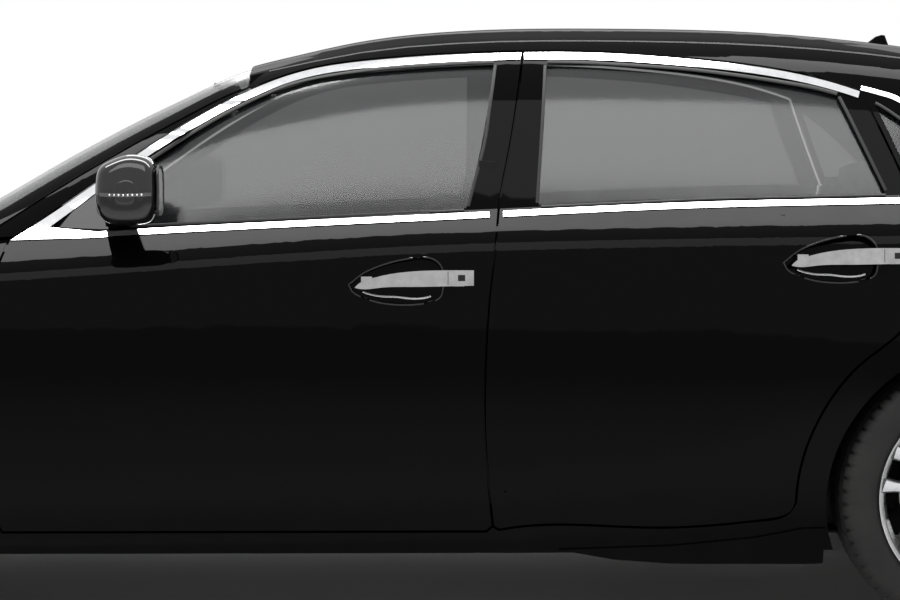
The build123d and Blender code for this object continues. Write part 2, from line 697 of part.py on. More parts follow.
def fog_bay():
    """Slanted blind bay in each lower corner of the bumper."""
    bay = poly_yz([(-610, 300), (-640, 380), (-760, 400), (-770, 330), (-720, 290)], -2600, -2170)
    return bay - shift(LOW, 14, 14, 0)


def rear_bumper():
    half = layer(LOW, box(TAIL_X, 2600, -1100, 0, 230, TAIL_Z - SHUT_GAP), (0, 0, 0), (-30, 30, 0))
    half -= box(2200, 2600, -TIP_Y - 82, -TIP_Y + 82, 200, TIP_Z + 56)
    return both(biggest(half - rear_arch()))


def tail_lamp():
    return biggest(layer(LOW, tail_lamp_region(SEAT_GAP), (0, 0, 0), (-36, 56, 0)))


def nose_bar(y, z0, z1, front, back):
    """Left half of a bar with the nose's curve in plan, between two depths behind the nose."""
    x = front_x((z0 + z1) / 2)
    sweep = [NOSE_SWEEP * (v / GRILLE[0]) ** 2 for v in (0, y / 2, y)]
    line = [Vector(x + front + s, -y * i / 2, z0) for i, s in enumerate(sweep)]
    rear = [p + Vector(back - front, 0, 0) for p in line]
    edges = [Edge.make_three_point_arc(*line), Edge.make_line(line[2], rear[2]),
             Edge.make_three_point_arc(*rear[::-1]), Edge.make_line(rear[0], line[0])]
    return Solid.extrude(Face(Wire(edges)), Vector(0, 0, z1 - z0))


def slatted(y, z0, z1, count, wall):
    """Left half of a framed set of cross bars that follow the nose."""
    y, z0, z1 = y - SEAT_GAP, z0 + SEAT_GAP, z1 - SEAT_GAP
    frame = layer(LOW, box(-2600, -2200, -y, 0, z0, z1), (0, 0, 0), (36, 0, 0))
    frame -= box(-2600, -2200, -y + wall, 1, z0 + wall, z1 - wall)
    pitch = (z1 - z0 - 2 * wall) / count
    slats = nose_bar(4, z0 + wall / 2, z1 - wall / 2, 20, 30)
    for i in range(1, count):
        z = z0 + wall + pitch * i
        slats += nose_bar(y - wall / 2, z - 4, z + 4, 10, 26)
    return frame + slats


def grille():
    """Main grille with the blank number plate, and the lower intake."""
    main_ = slatted(*GRILLE, GRILLE_BARS, 18.0)
    plate = box(-2600, -2300, -PLATE[0], 0, *PLATE[1:])
    main_ += layer(LOW, plate, (0, 0, 0), (12, 0, 0))
    return [both(biggest(main_)), both(biggest(slatted(*INTAKE, INTAKE_BARS, 8.0)))]


# ---------------------------------------------------------------- underbody
RAIL_Y = 410.0
RAIL_Z = 400.0
REAR_WALL_Y = 612.0
BOOT_FLOOR_Z = 590.0
JACK_X = (-1010.0, 740.0)
JACK_Y = 706.0
JACK_Z = 198.0
BOOT_W = REAR_WALL_Y - SEAT_GAP


def floor_pan():
    w, t = SILL_IN - SEAT_GAP, 14.0
    hat = [(-150, FLOOR_Z), (-110, 420), (110, 420), (150, FLOOR_Z)]
    hollow = [(-136, FLOOR_Z - 5), (-97, 406), (97, 406), (136, FLOOR_Z - 5)]
    pan = box(-1164, 880, -w, w, FLOOR_Z, FLOOR_Z + t) + box(-1164, -1150, -w, w, FLOOR_Z, 905)
    pan += poly_yz(hat, -1164, 1014)
    pan += box(890, 1014, -600, 600, FLOOR_Z, FLOOR_Z + t) + box(1000, 1014, -600, 600, FLOOR_Z, 604)
    pan = pan - poly_yz(hollow, -1200, 1100)
    pan += box(1000, 2100, -BOOT_W, BOOT_W, BOOT_FLOOR_Z, 604) + box(1400, 1414, -560, 560, 600, 1010)
    pan += box(1400, 1800, -560, 560, SHELF_Z - 14, SHELF_Z)
    for y in (-RAIL_Y, RAIL_Y):
        pan += box(-2300, -1150, y - 32, y + 32, RAIL_Z, RAIL_Z + 110)
    for x in JACK_X:
        for y in (-JACK_Y, JACK_Y):
            pan += box(x - 40, x + 40, y - 30, y + 30, JACK_Z, FLOOR_Z + 1)
    return pan


def wheelhouse(x, r, wall_y, low_z):
    """Liner between the arch lip and the inner wall, open below."""
    tube = cyl_y(x, TYRE_R, r + 4, -1000, -wall_y) - cyl_y(x, TYRE_R, r, -1010, -wall_y - 4)
    tube = tube & box(x - 500, x + 500, -1000, -wall_y, low_z, 1000)
    tube -= box(x - 300, x + 300, -wall_y - 5, -wall_y + 5, low_z - 1, TYRE_R + 150)
    return biggest(tube & shift(LOW, 0, SKIN_T + SEAT_GAP, -SKIN_T - SEAT_GAP))


# ---------------------------------------------------------------- running gear
def tyre(x):
    half = TYRE_W / 2
    profile = [(RIM_R - 3, -half + 14), (RIM_R + 10, -half + 2), (RIM_R + 38, -half),
               (TYRE_R - 22, -half + 4), (TYRE_R - 7, -half + 13), (TYRE_R - 1, -half + 30),
               (TYRE_R, 0)]
    inside = [(TYRE_R - 14, 0), (TYRE_R - 15, -half + 32), (RIM_R + 40, -half + 12),
              (RIM_R + 8, -half + 14)]
    pts = profile + [(r, -w) for r, w in reversed(profile[:-1])]
    pts += [(r, -w) for r, w in reversed(inside[1:])] + inside
    face = Face(Wire.make_polygon([Vector(r, w, 0) for r, w in pts], close=True))
    return shift(Solid.revolve(face, 360, Axis.Y), x, -WHEEL_Y, TYRE_R)


HUB_Y = -WHEEL_FACE_Y + 95.0


def spoke_pair():
    """Two bars that leave the hub together and spread to the rim, cut across the wheel."""
    out, r0, r1 = [], 62.0, RIM_R - 16
    for lean in (-1, 1):
        out.append(poly_xz([(lean * 4, r0), (lean * 30, r0), (lean * 62, r1), (lean * 34, r1)],
                           -WHEEL_FACE_Y + 14, -WHEEL_FACE_Y + 50))
    return out[0] + out[1]


def rim(x):
    """Barrel, flange, five twin spokes dished toward the hub, and a hub with its bolt holes."""
    y0, y1 = -WHEEL_FACE_Y + 12, -WHEEL_FACE_Y + TYRE_W - 12
    r = RIM_R - 3 - SEAT_GAP
    well = [(r, y0), (r, y1), (r - 11, y1), (r - 13, y1 - 40), (r - 24, y1 - 110),
            (r - 24, y0 + 60), (r - 14, y0 + 26), (r - 12, y0)]
    face = Face(Wire.make_polygon([Vector(a, b, 0) for a, b in well], close=True))
    shape = shift(Solid.revolve(face, 360, Axis.Y), x, 0, TYRE_R)
    spokes = spoke_pair()
    star = spokes
    for i in range(1, SPOKES):
        star = star + spokes.rotate(Axis.Y, 360 / SPOKES * i)
    dish = Solid.make_cone(50, RIM_R + 10, 26, Plane(origin=(0, -WHEEL_FACE_Y + 30, 0),
                                                     z_dir=(0, -1, 0)))
    star = star - dish
    shape += shift(star, x, 0, TYRE_R)
    shape += cyl_y(x, TYRE_R, 74, -WHEEL_FACE_Y + 34, HUB_Y - SEAT_GAP)
    for i in range(5):
        t = 2 * math.pi * i / 5
        shape -= cyl_y(x + BOLT_PCD / 2 * math.sin(t), TYRE_R + BOLT_PCD / 2 * math.cos(t), 10,
                       -WHEEL_FACE_Y + 20, -WHEEL_FACE_Y + 64)
    return biggest(shape)


SPOKES = 5
BOLT_PCD = 112.0


def brake_disc(x):
    disc = cyl_y(x, TYRE_R, 180, HUB_Y + 12, HUB_Y + 42) + cyl_y(x, TYRE_R, 85, HUB_Y, HUB_Y + 42)
    return disc - cyl_y(x, TYRE_R, PIN_R + 20, HUB_Y + 8, HUB_Y + 60)


DISC_R = 180.0


def caliper(x):
    """Two-sided brake caliper behind the axle, straddling the disc."""
    y0, y1 = HUB_Y - 16, HUB_Y + 68
    body = cyl_y(x, TYRE_R, DISC_R + 24, y0, y1) - cyl_y(x, TYRE_R, 108, y0 - 5, y1 + 5)
    body = body & box(x + 60, x + 400, y0, y1, TYRE_R - 85, TYRE_R + 85)
    slot = cyl_y(x, TYRE_R, DISC_R + 6, HUB_Y + 7, HUB_Y + 47)
    return biggest(body - slot)


def knuckle(x):
    y = HUB_Y + 42
    stub = cyl_y(x, TYRE_R, PIN_R + 20 - SEAT_GAP, HUB_Y + 12, y + 10)
    block = box(x - 45, x + 45, y + 6, y + 46, TYRE_R - 120, TYRE_R + 130)
    arm = box(x + 40, x + 140, y + 8, y + 26, TYRE_R - 34, TYRE_R + 34)
    return stub + block + arm + caliper(x)


KING_Y0 = -HUB_Y - 42 - 26


def front_subframe():
    beam = box(FRONT_AXLE_X - 150, FRONT_AXLE_X + 150, -440, 440, 190, 236)
    for x in (FRONT_AXLE_X - 130, FRONT_AXLE_X + 130):
        for y in (-RAIL_Y, RAIL_Y):
            beam += cyl_z(x, y, 22, 236, RAIL_Z - SEAT_GAP)
    arms = beam
    for s in (-1, 1):
        arms += poly_xy([(FRONT_AXLE_X - 130, s * 300), (FRONT_AXLE_X + 130, s * 300),
                         (FRONT_AXLE_X + 20, s * 735), (FRONT_AXLE_X - 20, s * 735)], 195, 213)
        arms += cyl_z(FRONT_AXLE_X, s * KING_Y0, 14, 195, TYRE_R - 120 - SEAT_GAP)
    return arms


def rear_axle():
    beam = box(REAR_AXLE_X - 150, REAR_AXLE_X + 150, -420, 420, 250, 300)
    beam += Pos(REAR_AXLE_X, 0, TYRE_R) * Sphere(130)
    for x in (REAR_AXLE_X - 120, REAR_AXLE_X + 120):
        for y in (-360, 360):
            beam += cyl_z(x, y, 24, 298, BOOT_FLOOR_Z - SEAT_GAP)
    for s in (-1, 1):
        beam += cyl_y(REAR_AXLE_X, TYRE_R, 22, 0, s * 730)
        beam += poly_xy([(REAR_AXLE_X - 140, s * 380), (REAR_AXLE_X + 140, s * 380),
                         (REAR_AXLE_X + 30, s * 750), (REAR_AXLE_X - 30, s * 750)], 250, 270)
    left = knuckle(REAR_AXLE_X)
    return beam + left + right(left)


def engine():
    """One plain block for the engine, and the gearbox that runs back into the tunnel."""
    block = box(-1980, -1260, -300, 300, 236 + SEAT_GAP, 800)
    return block + box(-1262, -820, -92, 46, 262, 388)


def propshaft():
    return rod((-819.0, -23, 330), (REAR_AXLE_X - 128, 0, TYRE_R), 27)


def exhaust():
    """Pipe down the tunnel, under the axle to a rear box, and a tip each side."""
    y, z, r = 82, 284, 25
    route = [(-1240, y, z), (998, y, z), (1110, y + 50, 216), (1540, y + 50, 216),
             (1700, y + 50, 340)]
    pipe = rod(route[0], route[1], r)
    for a, b in zip(route[1:], route[2:]):
        pipe += rod(a, b, r) + Pos(*a) * Sphere(r)
    muffler = box(1680, 2040, -420, 420, 290, 450)
    pipe += fillet(muffler.edges().filter_by(Axis.Y), 50)
    for side in (-1, 1):
        pipe += rod((2030, side * 380, 330), (2110, side * TIP_Y, TIP_Z), 28)
        pipe += rod((2100, side * TIP_Y, TIP_Z), (2400, side * TIP_Y, TIP_Z), TIP_R)
        pipe -= rod((2200, side * TIP_Y, TIP_Z), (2420, side * TIP_Y, TIP_Z), TIP_R - 4)
        pipe += cyl_z(1860, side * 300, 8, 440, BOOT_FLOOR_Z - SEAT_GAP)
    for x in (-700, 100, 800):
        pipe += cyl_z(x, 60, 5, z, 406 - SEAT_GAP)
    return pipe


# ---------------------------------------------------------------- cabin
def dashboard():
    """Dash with an instrument hood and a centre stack that runs back as the console."""
    x0 = -1150 + SEAT_GAP
    side = SILL_IN - 5
    pts = [(x0, 900), (x0, 640), (-1000, 600), (-880, 636), (-838, 700), (-850, 800),
           (-890, 862), (-960, 894), (-1040, 904)]
    dash = poly_xz(pts, -side, side)
    dash += poly_xz([(-960, 880), (-960, 912), (-860, 918), (-822, 900), (-838, 860)], -560, -200)
    stack = [(-900, 422), (-900, 760), (-826, 760), (-790, 640), (-720, 560), (-560, 530),
             (-330, 530), (-300, 575), (60, 575), (80, 560), (80, 422)]
    return dash + poly_xz(stack, -CONSOLE_Y, CONSOLE_Y) - column(SHAFT_R + SEAT_GAP, -186, -60)


CONSOLE_Y = 102.0
SEAT_PLAY = 0.4


def cushion(points, y0, y1, r=26.0):
    """Plain closed pad: a side outline with its long edges rounded."""
    pad = poly_xz(points, y0, y1)
    return fillet(pad.edges().filter_by(Axis.Y), r)


def headrest(back, points, y, foot, top):
    """Headrest on two posts let into the backrest; returns backrest, head and posts."""
    head = cushion(points, y - 130, y + 130, 22.0)
    posts = []
    for side in (-70, 70):
        a, b = (foot[0], y + side, foot[1]), (top[0], y + side, top[1])
        back = back - rod(a, b, 6 + SEAT_GAP)
        head = head - rod(a, b, 6 + SEAT_GAP)
        posts.append(rod((a[0] + 0.1, a[1], a[2] + 0.4), (b[0] - 0.1, b[1], b[2] - 0.4), 6))
    return [back, head] + posts


def front_seat(y):
    """Frame, cushion, backrest and headrest, each its own solid with a hair between."""
    x, w = -250, 500
    y0, y1 = y - w / 2, y + w / 2
    floor = FLOOR_Z + 14 + SEAT_GAP
    base = cushion([(x - 270, 373.4), (x + 236, 373.4), (x + 214, 500), (x - 270, 530)], y0, y1)
    back = cushion([(x + 234.4, 385), (x + 330, 385), (x + 478, 1050), (x + 380, 1072),
                    (x + 214.4, 500)], y0, y1)
    frame = box(x - 200, x + 200, y0 + 60, y1 - 60, floor, 373)
    head = [(x + 392, 1086), (x + 482, 1066), (x + 512, 1226), (x + 430, 1240)]
    return [base, frame] + headrest(back, head, y, (x + 415, 1000), (x + 452, 1140))


def rear_seat():
    """Bench cushion, backrest and two headrests between the rear arches."""
    floor = FLOOR_Z + 14 + SEAT_GAP
    base = cushion([(560, 434), (990, 434), (974, 500), (560, 552)], -600, 600)
    back = cushion([(880, 512.3), (999, 497.4), (999, 620), (1245, 996), (1150, 1032)], -600, 600)
    frame = box(600, 980, -580, 580, 420 + SEAT_GAP, 433.6)
    for side in (-1, 1):
        frame += box(600, 980, *sorted((side * 152, side * 580)), floor, 421)
    pieces = [base, frame]
    head = [(1152, 1046), (1236, 1018), (1262, 1130), (1186, 1150)]
    for y in (-330, 330):
        back, *rest = headrest(back, head, y, (1185, 960), (1215, 1080))
        pieces += rest
    return pieces + [back]


WHEEL_HUB = (-690, -380, 800)
COLUMN_TURN = 68.0
SHAFT_R = 18.0


def column(r, start, end):
    """Round bar along the steering column, measured from the wheel's hub."""
    t = math.radians(COLUMN_TURN)
    ends = [(WHEEL_HUB[0] + math.sin(t) * d, WHEEL_HUB[1], WHEEL_HUB[2] + math.cos(t) * d)
            for d in (start, end)]
    return rod(*ends, r)


def steering_wheel():
    ring = Solid.make_torus(178, 15)
    shape = ring + Cylinder(60, 40) + Box(340, 30, 16) + Pos(0, -85, 0) * Box(30, 170, 16)
    return Pos(*WHEEL_HUB) * Rot(0, COLUMN_TURN, 0) * Rot(0, 0, 90) * shape + column(
        SHAFT_R, -180, -10)


# ---------------------------------------------------------------- door furniture
def mirror_ring(y, grow, cx=-739.0, cz=1078.0):
    """One rounded-square section of the mirror head; its rear face is nearly flat."""
    pts = []
    for i in range(16):
        t = 2 * math.pi * i / 16
        c, s = math.cos(t), math.sin(t)
        ax, az = abs(c) ** 0.62 * 75 * grow, abs(s) ** 0.62 * 78 * grow
        pts.append(Vector(cx + math.copysign(ax, c), y, cz + math.copysign(az, s)
                          + (10 * grow if s > 0 and c > 0 else 0)))
    edge = Edge.make_spline(pts, periodic=True, parameters=[i / 16 for i in range(17)])
    return Wire(edge)


def sail():
    """Black corner plate in front of the glass, which carries the mirror's foot."""
    head = inset(FRONT_TOP[::-1], STRIP_W)
    tip = (-946, 990)
    upper = [tip] + [q for q in head if -940 < q[0] < SAIL_BACK] + [(SAIL_BACK - 6, 1118)]
    low = [(SAIL_BACK - 6, belt_z(SAIL_BACK) + 1.0), (-830, 985), tip]
    return y_layer(CABIN, poly_xz(upper + low, -1100, 0), -3, -SEAT_GAP)


def door_mirror():
    rows = [(-846, 0.62), (-858, 0.84), (-885, 0.96), (-925, 1.0), (-962, 0.97), (-985, 0.86),
            (-997, 0.62), (-1000, 0.3)]
    head = Solid.make_loft([mirror_ring(y, g) for y, g in rows])
    foot = Solid.make_loft([Wire.make_polygon([Vector(x, y, z) for x, z in pts], close=True)
                            for y, pts in ((-880, [(-800, 1016), (-712, 1016), (-712, 1034),
                                                   (-800, 1034)]),
                                           (-770, [(-812, 988), (-742, 990), (-742, 1022),
                                                   (-812, 1020)]),
                                           (-700, [(-812, 988), (-742, 990), (-742, 1022),
                                                   (-812, 1020)]))], ruled=True)
    shape = head + foot - shift(SIDE, 0, -SEAT_GAP, 0) - shift(CABIN, 0, -SEAT_GAP, 0)
    return biggest(shape + sail())


def handle(dx, dz):
    """Tapered pull bar on two posts, its tip low in front and its end square behind."""
    top = [(-203, 852), (-190, 864), (-167, 873), (-120, 884), (-72, 890), (0, 893), (79, 893)]
    low = [(79, 857), (0, 855), (-72, 854), (-143, 852), (-190, 849), (-203, 852)]
    face = Face(wire_xz(top, [top[-1], low[0]], low))
    face = face.moved(Location((dx, 0, dz)))
    bar = y_layer(SIDE, prism(face), -HANDLE_OUT, -HANDLE_OUT + 11)
    for x in (-188, 30):
        bar += y_layer(SIDE, box(x + dx, x + 26 + dx, -1000, 0, 855 + dz, 878 + dz),
                       -HANDLE_OUT + 5, -SEAT_GAP if x > 0 else CUP_DEPTH - SEAT_GAP)
    return biggest(bar)


HANDLE_OUT = 30.0


def moulding(face, out=4.0):
    """Bright strip that follows the door from its lower body up onto the window frame."""
    strip = prism(face)
    parts = [shift(volume, y=-out) & strip for volume in (SIDE, CABIN)]
    parts = [q for q in parts if q]
    outer = parts[0] + parts[1] if len(parts) == 2 else parts[0]
    return biggest(outer - shift(SIDE, y=-SEAT_GAP) - shift(CABIN, y=-SEAT_GAP))


def front_surround():
    """Window strip over the front glass, its full corner in front and the belt moulding."""
    head = FRONT_TOP[::-1]
    inner = [q for q in inset(head, STRIP_W) if -900 < q[0] < 195]
    inner = [(-948, 990)] + inner + [(200, 1421 - STRIP_W)]
    belt = belt_line(118, -830, 0, 6)
    low = [(x, z - 13) for x, z in belt]
    tip = (head[0][0] + 1, head[0][1] - 1)
    return [moulding(Face(wire_xz(
        [tip] + head[1:], [head[-1], inner[-1]], inner[::-1], [inner[0], belt[-1]],
        belt[::-1], [belt[0], low[0]], low, [low[-1], tip])))]


def rear_surround():
    """Window strip over the rear glass and the belt moulding, on the rear door."""
    inner = [q for q in inset(REAR_TOP, STRIP_W) if 230 < q[0] < 1010]
    inner = [(REAR_TOP[0][0], 1421 - STRIP_W)] + inner + [(1036, 1306)]
    top = Face(wire_xz(REAR_TOP, [REAR_TOP[-1], inner[-1]], inner[::-1],
                       [inner[0], REAR_TOP[0]]))
    belt = belt_line(152, 1140, 0, 5)
    low = [(x, z - 13) for x, z in belt][::-1]
    strip = Face(wire_xz(belt, [belt[-1], low[0]], low, [low[-1], belt[0]]))
    return [moulding(top), moulding(strip)]


# ---------------------------------------------------------------- write everything
def main():
    side = body_side()
    save("body_sides", side, right(side))
    wing = fender()
    save("fenders", wing, right(wing))
    doors = (("front", FRONT_DOOR, FRONT_GLASS, -1082, 0, 0, front_surround()),
             ("rear", REAR_DOOR, REAR_GLASS, 109, *HANDLE_STEP, rear_surround()))
    for name, outline, glass, lead, dx, dz, surround in doors:
        panel = door_panel(outline, glass, lead, (dx, dz))
        pane = door_glass(glass, 12)
        trim = surround + [handle(dx, dz)]
        for hand, flip in (("left", lambda s: s), ("right", right)):
            save(f"{name}_door_{hand}", flip(panel))
            save(f"{name}_glass_{hand}", flip(pane))
            save(f"{name}_trim_{hand}", *[flip(t) for t in trim])
    save("mirror_left", door_mirror())
    save("mirror_right", right(door_mirror()))
    save("hood", hood())
    save("boot_lid", boot_lid())
    save("roof_panel", roof_panel())
    quarter = quarter_glass()
    save("fixed_glass", windscreen(), rear_window(), quarter, right(quarter))
    save("cowl", cowl(), rear_deck())
    save("front_bumper", front_bumper())
    save("rear_bumper", rear_bumper())
    save("grille", *grille())
    for name, lamp in (("headlamps", headlamp()), ("tail_lamps", tail_lamp())):
        save(name, lamp, right(lamp))
    save("floor_pan", floor_pan())
    front_liner = wheelhouse(FRONT_AXLE_X, WHEELHOUSE_R, 462, 240)
    rear_liner = wheelhouse(REAR_AXLE_X, REAR_HOUSE_R, REAR_WALL_Y, 240)
    save("wheelhouses", front_liner, right(front_liner), rear_liner, right(rear_liner))
    for end, x in (("front", FRONT_AXLE_X), ("rear", REAR_AXLE_X)):
        tyre_, rim_, disc = tyre(x), rim(x), brake_disc(x)
        for hand, flip in (("left", lambda s: s), ("right", right)):
            save(f"tyre_{end}_{hand}", flip(tyre_))
            save(f"wheel_{end}_{hand}", flip(rim_), flip(disc))
    save("knuckle_left", knuckle(FRONT_AXLE_X))
    save("knuckle_right", right(knuckle(FRONT_AXLE_X)))
    save("rear_axle", rear_axle() + propshaft())
    save("front_subframe", front_subframe())
    save("engine_block", engine())
    save("exhaust", exhaust())
    save("dashboard", dashboard())
    save("seats", *front_seat(-370), *front_seat(370), *rear_seat())
    save("steering_wheel", steering_wheel())


main()
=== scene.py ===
# %% [markdown]
# An executive saloon car in gloss black. The big painted panels come ready from the solid
# model, so this lesson gives them their finishes and adds the pieces a body shop would call
# trim: tyres with tread, spoked wheels, soft seats, lamps, mirrors and handles.

# %% load the frame
import bpy, bmesh, json, math
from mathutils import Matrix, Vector, noise
from mathutils.bvhtree import BVHTree

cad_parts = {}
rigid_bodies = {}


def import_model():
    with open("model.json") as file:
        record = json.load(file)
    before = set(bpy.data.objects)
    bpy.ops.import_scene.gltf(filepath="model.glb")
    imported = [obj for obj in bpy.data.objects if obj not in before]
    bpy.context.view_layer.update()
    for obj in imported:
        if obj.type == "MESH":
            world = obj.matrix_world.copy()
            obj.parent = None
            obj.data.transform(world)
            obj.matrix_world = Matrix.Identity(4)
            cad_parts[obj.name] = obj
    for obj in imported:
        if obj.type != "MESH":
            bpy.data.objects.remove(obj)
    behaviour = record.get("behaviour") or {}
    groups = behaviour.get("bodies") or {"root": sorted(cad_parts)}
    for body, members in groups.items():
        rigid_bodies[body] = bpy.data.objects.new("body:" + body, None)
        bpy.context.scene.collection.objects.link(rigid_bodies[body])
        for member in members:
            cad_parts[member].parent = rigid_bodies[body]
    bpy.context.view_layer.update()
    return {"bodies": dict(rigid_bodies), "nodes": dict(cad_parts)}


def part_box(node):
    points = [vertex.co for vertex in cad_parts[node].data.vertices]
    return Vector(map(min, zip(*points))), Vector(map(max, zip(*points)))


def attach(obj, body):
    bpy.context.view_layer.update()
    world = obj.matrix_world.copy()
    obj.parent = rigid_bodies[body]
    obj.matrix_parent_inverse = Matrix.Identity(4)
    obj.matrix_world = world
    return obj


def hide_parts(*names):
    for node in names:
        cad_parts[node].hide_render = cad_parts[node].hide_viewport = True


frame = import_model()
nodes, bodies = frame["nodes"], frame["bodies"]
HANDS = (("left", -1), ("right", 1))        # the car's own left is at -Y
ENDS = ("front", "rear")
BESIDE, BEYOND, OVERHEAD = 1.6, 3.2, 2.2    # where rays start, well clear of the car


def both_sides(make_one):
    """Calls a maker for the left and right hand."""
    for hand, side in HANDS:
        make_one(hand, side)


def spread(a, b, n):
    """n + 1 even steps from a to b."""
    return [a + (b - a) * i / n for i in range(n + 1)]


# %% [markdown]
# Shader sums are easier to read as sums. Val wraps one socket, so `1 - dust * 0.4` builds its
# own Math nodes; every other node is placed by Finish.add.

# %% sockets that add up
class Val:
    """One socket's value, usable in plain sums."""
    def __init__(self, tree, socket):
        self.tree, self.socket = tree, socket

    def sum(self, op, a, b):
        n = self.tree.nodes.new("ShaderNodeMath")
        n.operation = op
        for slot_, v in zip(n.inputs, (a, b)):
            if isinstance(v, Val):
                self.tree.links.new(v.socket, slot_)
            else:
                slot_.default_value = v
        return Val(self.tree, n.outputs[0])

    def __add__(self, o): return self.sum("ADD", self, o)
    def __radd__(self, o): return self.sum("ADD", o, self)
    def __sub__(self, o): return self.sum("SUBTRACT", self, o)
    def __rsub__(self, o): return self.sum("SUBTRACT", o, self)
    def __mul__(self, o): return self.sum("MULTIPLY", self, o)
    def __rmul__(self, o): return self.sum("MULTIPLY", o, self)
    def __truediv__(self, o): return self.sum("DIVIDE", self, o)
    def __pow__(self, o): return self.sum("POWER", self, o)


class Finish:
    """A material under construction: its tree, its Principled shader and its places."""
    def __init__(self, name, **fixed):
        self.mat = bpy.data.materials.new(name)
        self.mat.use_nodes = True
        self.tree = self.mat.node_tree
        self.bsdf = self.tree.nodes["Principled BSDF"]
        self.set(**fixed)
        self.spot = self.add("TexCoord", out="Object")

    def plug(self, socket, v):
        if isinstance(v, Val):
            self.tree.links.new(v.socket, socket)
        else:
            socket.default_value = v

    def add(self, kind, settings=None, values=None, out=0):
        n = self.tree.nodes.new("ShaderNode" + kind)
        for key, v in (settings or {}).items():
            if key == "stops":
                ramp = n.color_ramp.elements
                while len(ramp) < len(v):
                    ramp.new(0.5)
                for e, (at, colour) in zip(ramp, v):
                    e.position, e.color = at, colour
            else:
                setattr(n, key, v)
        for key, v in (values or {}).items():
            self.plug(n.inputs[key], v)
        return Val(self.tree, n.outputs[out])

    def set(self, **values):
        for key, v in values.items():
            self.plug(self.bsdf.inputs[key.replace("_", " ")], v)
        return self

    def noise(self, scale, detail=4.0, rough=0.55, spot=None):
        return self.add("TexNoise", values={"Vector": spot or self.spot, "Scale": scale,
                                            "Detail": detail, "Roughness": rough})

    def ramp(self, fac, *stops):
        return self.add("ValToRGB", {"stops": stops}, {"Fac": fac})

    def mix(self, fac, a, b):
        """Mix two colours."""
        n = self.tree.nodes.new("ShaderNodeMix")
        n.data_type = "RGBA"
        for key, v in ((0, fac), (6, a), (7, b)):
            self.plug(n.inputs[key], v)
        return Val(self.tree, n.outputs[2])

    def axis(self, name, spot=None):
        return self.add("SeparateXYZ", values={"Vector": spot or self.spot}, out=name)

    def stretch(self, x, y, z):
        return self.add("Mapping", values={"Vector": self.spot, "Scale": (x, y, z)})

    def bump(self, height, strength, distance):
        n = self.add("Bump", values={"Height": height, "Strength": strength,
                                     "Distance": distance}, out="Normal")
        return self.set(Normal=n)


def grey(v, a=1.0):
    return (v, v, v, a)


# %% [markdown]
# Black car paint is a nearly black base under a deep clear coat. The coat is what shows: it is
# very smooth, with the faint waviness of sprayed lacquer, and road film dulls it low down.

# %% paint, chrome and glass
def low_film(f, top, strength):
    """Road film: 1 near the ground, fading upward, broken up by noise."""
    z = f.axis("Z")
    fall = f.add("MapRange", values={"Value": z, "From Min": top, "From Max": 0.12,
                                     "To Min": 0.0, "To Max": 1.0})
    return fall * fall * f.noise(9.0) * strength


def paint_finish():
    f = Finish("gloss_black_paint", Coat_Weight=0.15, Coat_Roughness=0.03, Coat_IOR=1.42,
               Roughness=0.3, Specular_IOR_Level=0.0)
    film = low_film(f, 0.55, 0.5)
    f.set(Base_Color=f.mix(film, (0.0012, 0.0012, 0.0014, 1), (0.009, 0.0085, 0.008, 1)))
    f.set(Roughness=0.22 + 0.1 * f.noise(3.0) + film * 0.5)
    return f.bump(f.noise(26.0, 2.0), 0.03, 0.002).mat


def chrome_finish():
    """Bright on the window strips; below z = 0.965, where the door handles are, rougher and painted
    darker: a painted shade for the darker reflections low on the car.
    """
    f = Finish("bright_chrome", Metallic=1.0)
    haze, z = f.noise(40.0, 3.0), f.axis("Z")
    handle = f.add("Math", {"operation": "LESS_THAN"}, {0: z, 1: 0.965})
    bright = f.ramp(haze, (0.3, (0.78, 0.79, 0.81, 1)), (0.8, (0.90, 0.90, 0.91, 1)))
    # painted shade: below z = 0.965 the chrome colour is painted darker, standing in for the darker
    # reflections there
    shaded_satin = f.ramp(haze, (0.3, grey(0.34)), (0.8, grey(0.46)))
    f.set(Base_Color=f.mix(handle, bright, shaded_satin))
    f.set(Roughness=0.05 + haze * 0.06 + handle * 0.12)
    return f.mat


def glass_finish(name, tint, see):
    """Tinted glass: the dark tint lets a share of the light through."""
    f = Finish(name, Roughness=0.14, Specular_IOR_Level=0.9)
    smear = f.noise(5.0, 6.0)
    f.set(Base_Color=f.mix(smear, tint, (tint[0] * 1.5, tint[1] * 1.5, tint[2] * 1.5, 1)))
    f.set(Alpha=see + (smear - 0.5) * 0.04)
    return f.mat


def plastic_finish(name, colour, rough, grain, depth):
    """Moulded plastic with a fine pebbled grain."""
    f = Finish(name, Roughness=rough)
    cells = f.add("TexVoronoi", {"feature": "SMOOTH_F1"}, {"Vector": f.spot, "Scale": grain})
    lighter = tuple(c * 1.35 for c in colour[:3]) + (1,)
    f.set(Base_Color=f.mix(f.noise(12.0), colour, lighter))
    f.set(Roughness=rough + (f.noise(60.0) - 0.5) * 0.12)
    return f.bump(cells, 0.35, depth).mat


PAINT = paint_finish()
CHROME = chrome_finish()
GLASS = glass_finish("tinted_glass", (0.012, 0.013, 0.014, 1), 0.55)
BLACK_GLOSS = plastic_finish("gloss_black_plastic", (0.006, 0.006, 0.0065, 1), 0.08, 900, 0.0)
TRIM_BLACK = plastic_finish("grained_black_plastic", (0.018, 0.018, 0.019, 1), 0.55, 700, 0.0006)
SEAL = plastic_finish("rubber_seal", (0.012, 0.012, 0.012, 1), 0.62, 300, 0.0004)
DASH = plastic_finish("soft_dash_skin", (0.022, 0.021, 0.021, 1), 0.6, 420, 0.0008)
print("first finishes ready")

# %% [markdown]
# Rubber, cast and brushed metal each break up light in their own way: rubber with bloom and
# dust in its recesses, castings with a coarse pitted skin, brushed steel with fine lines.

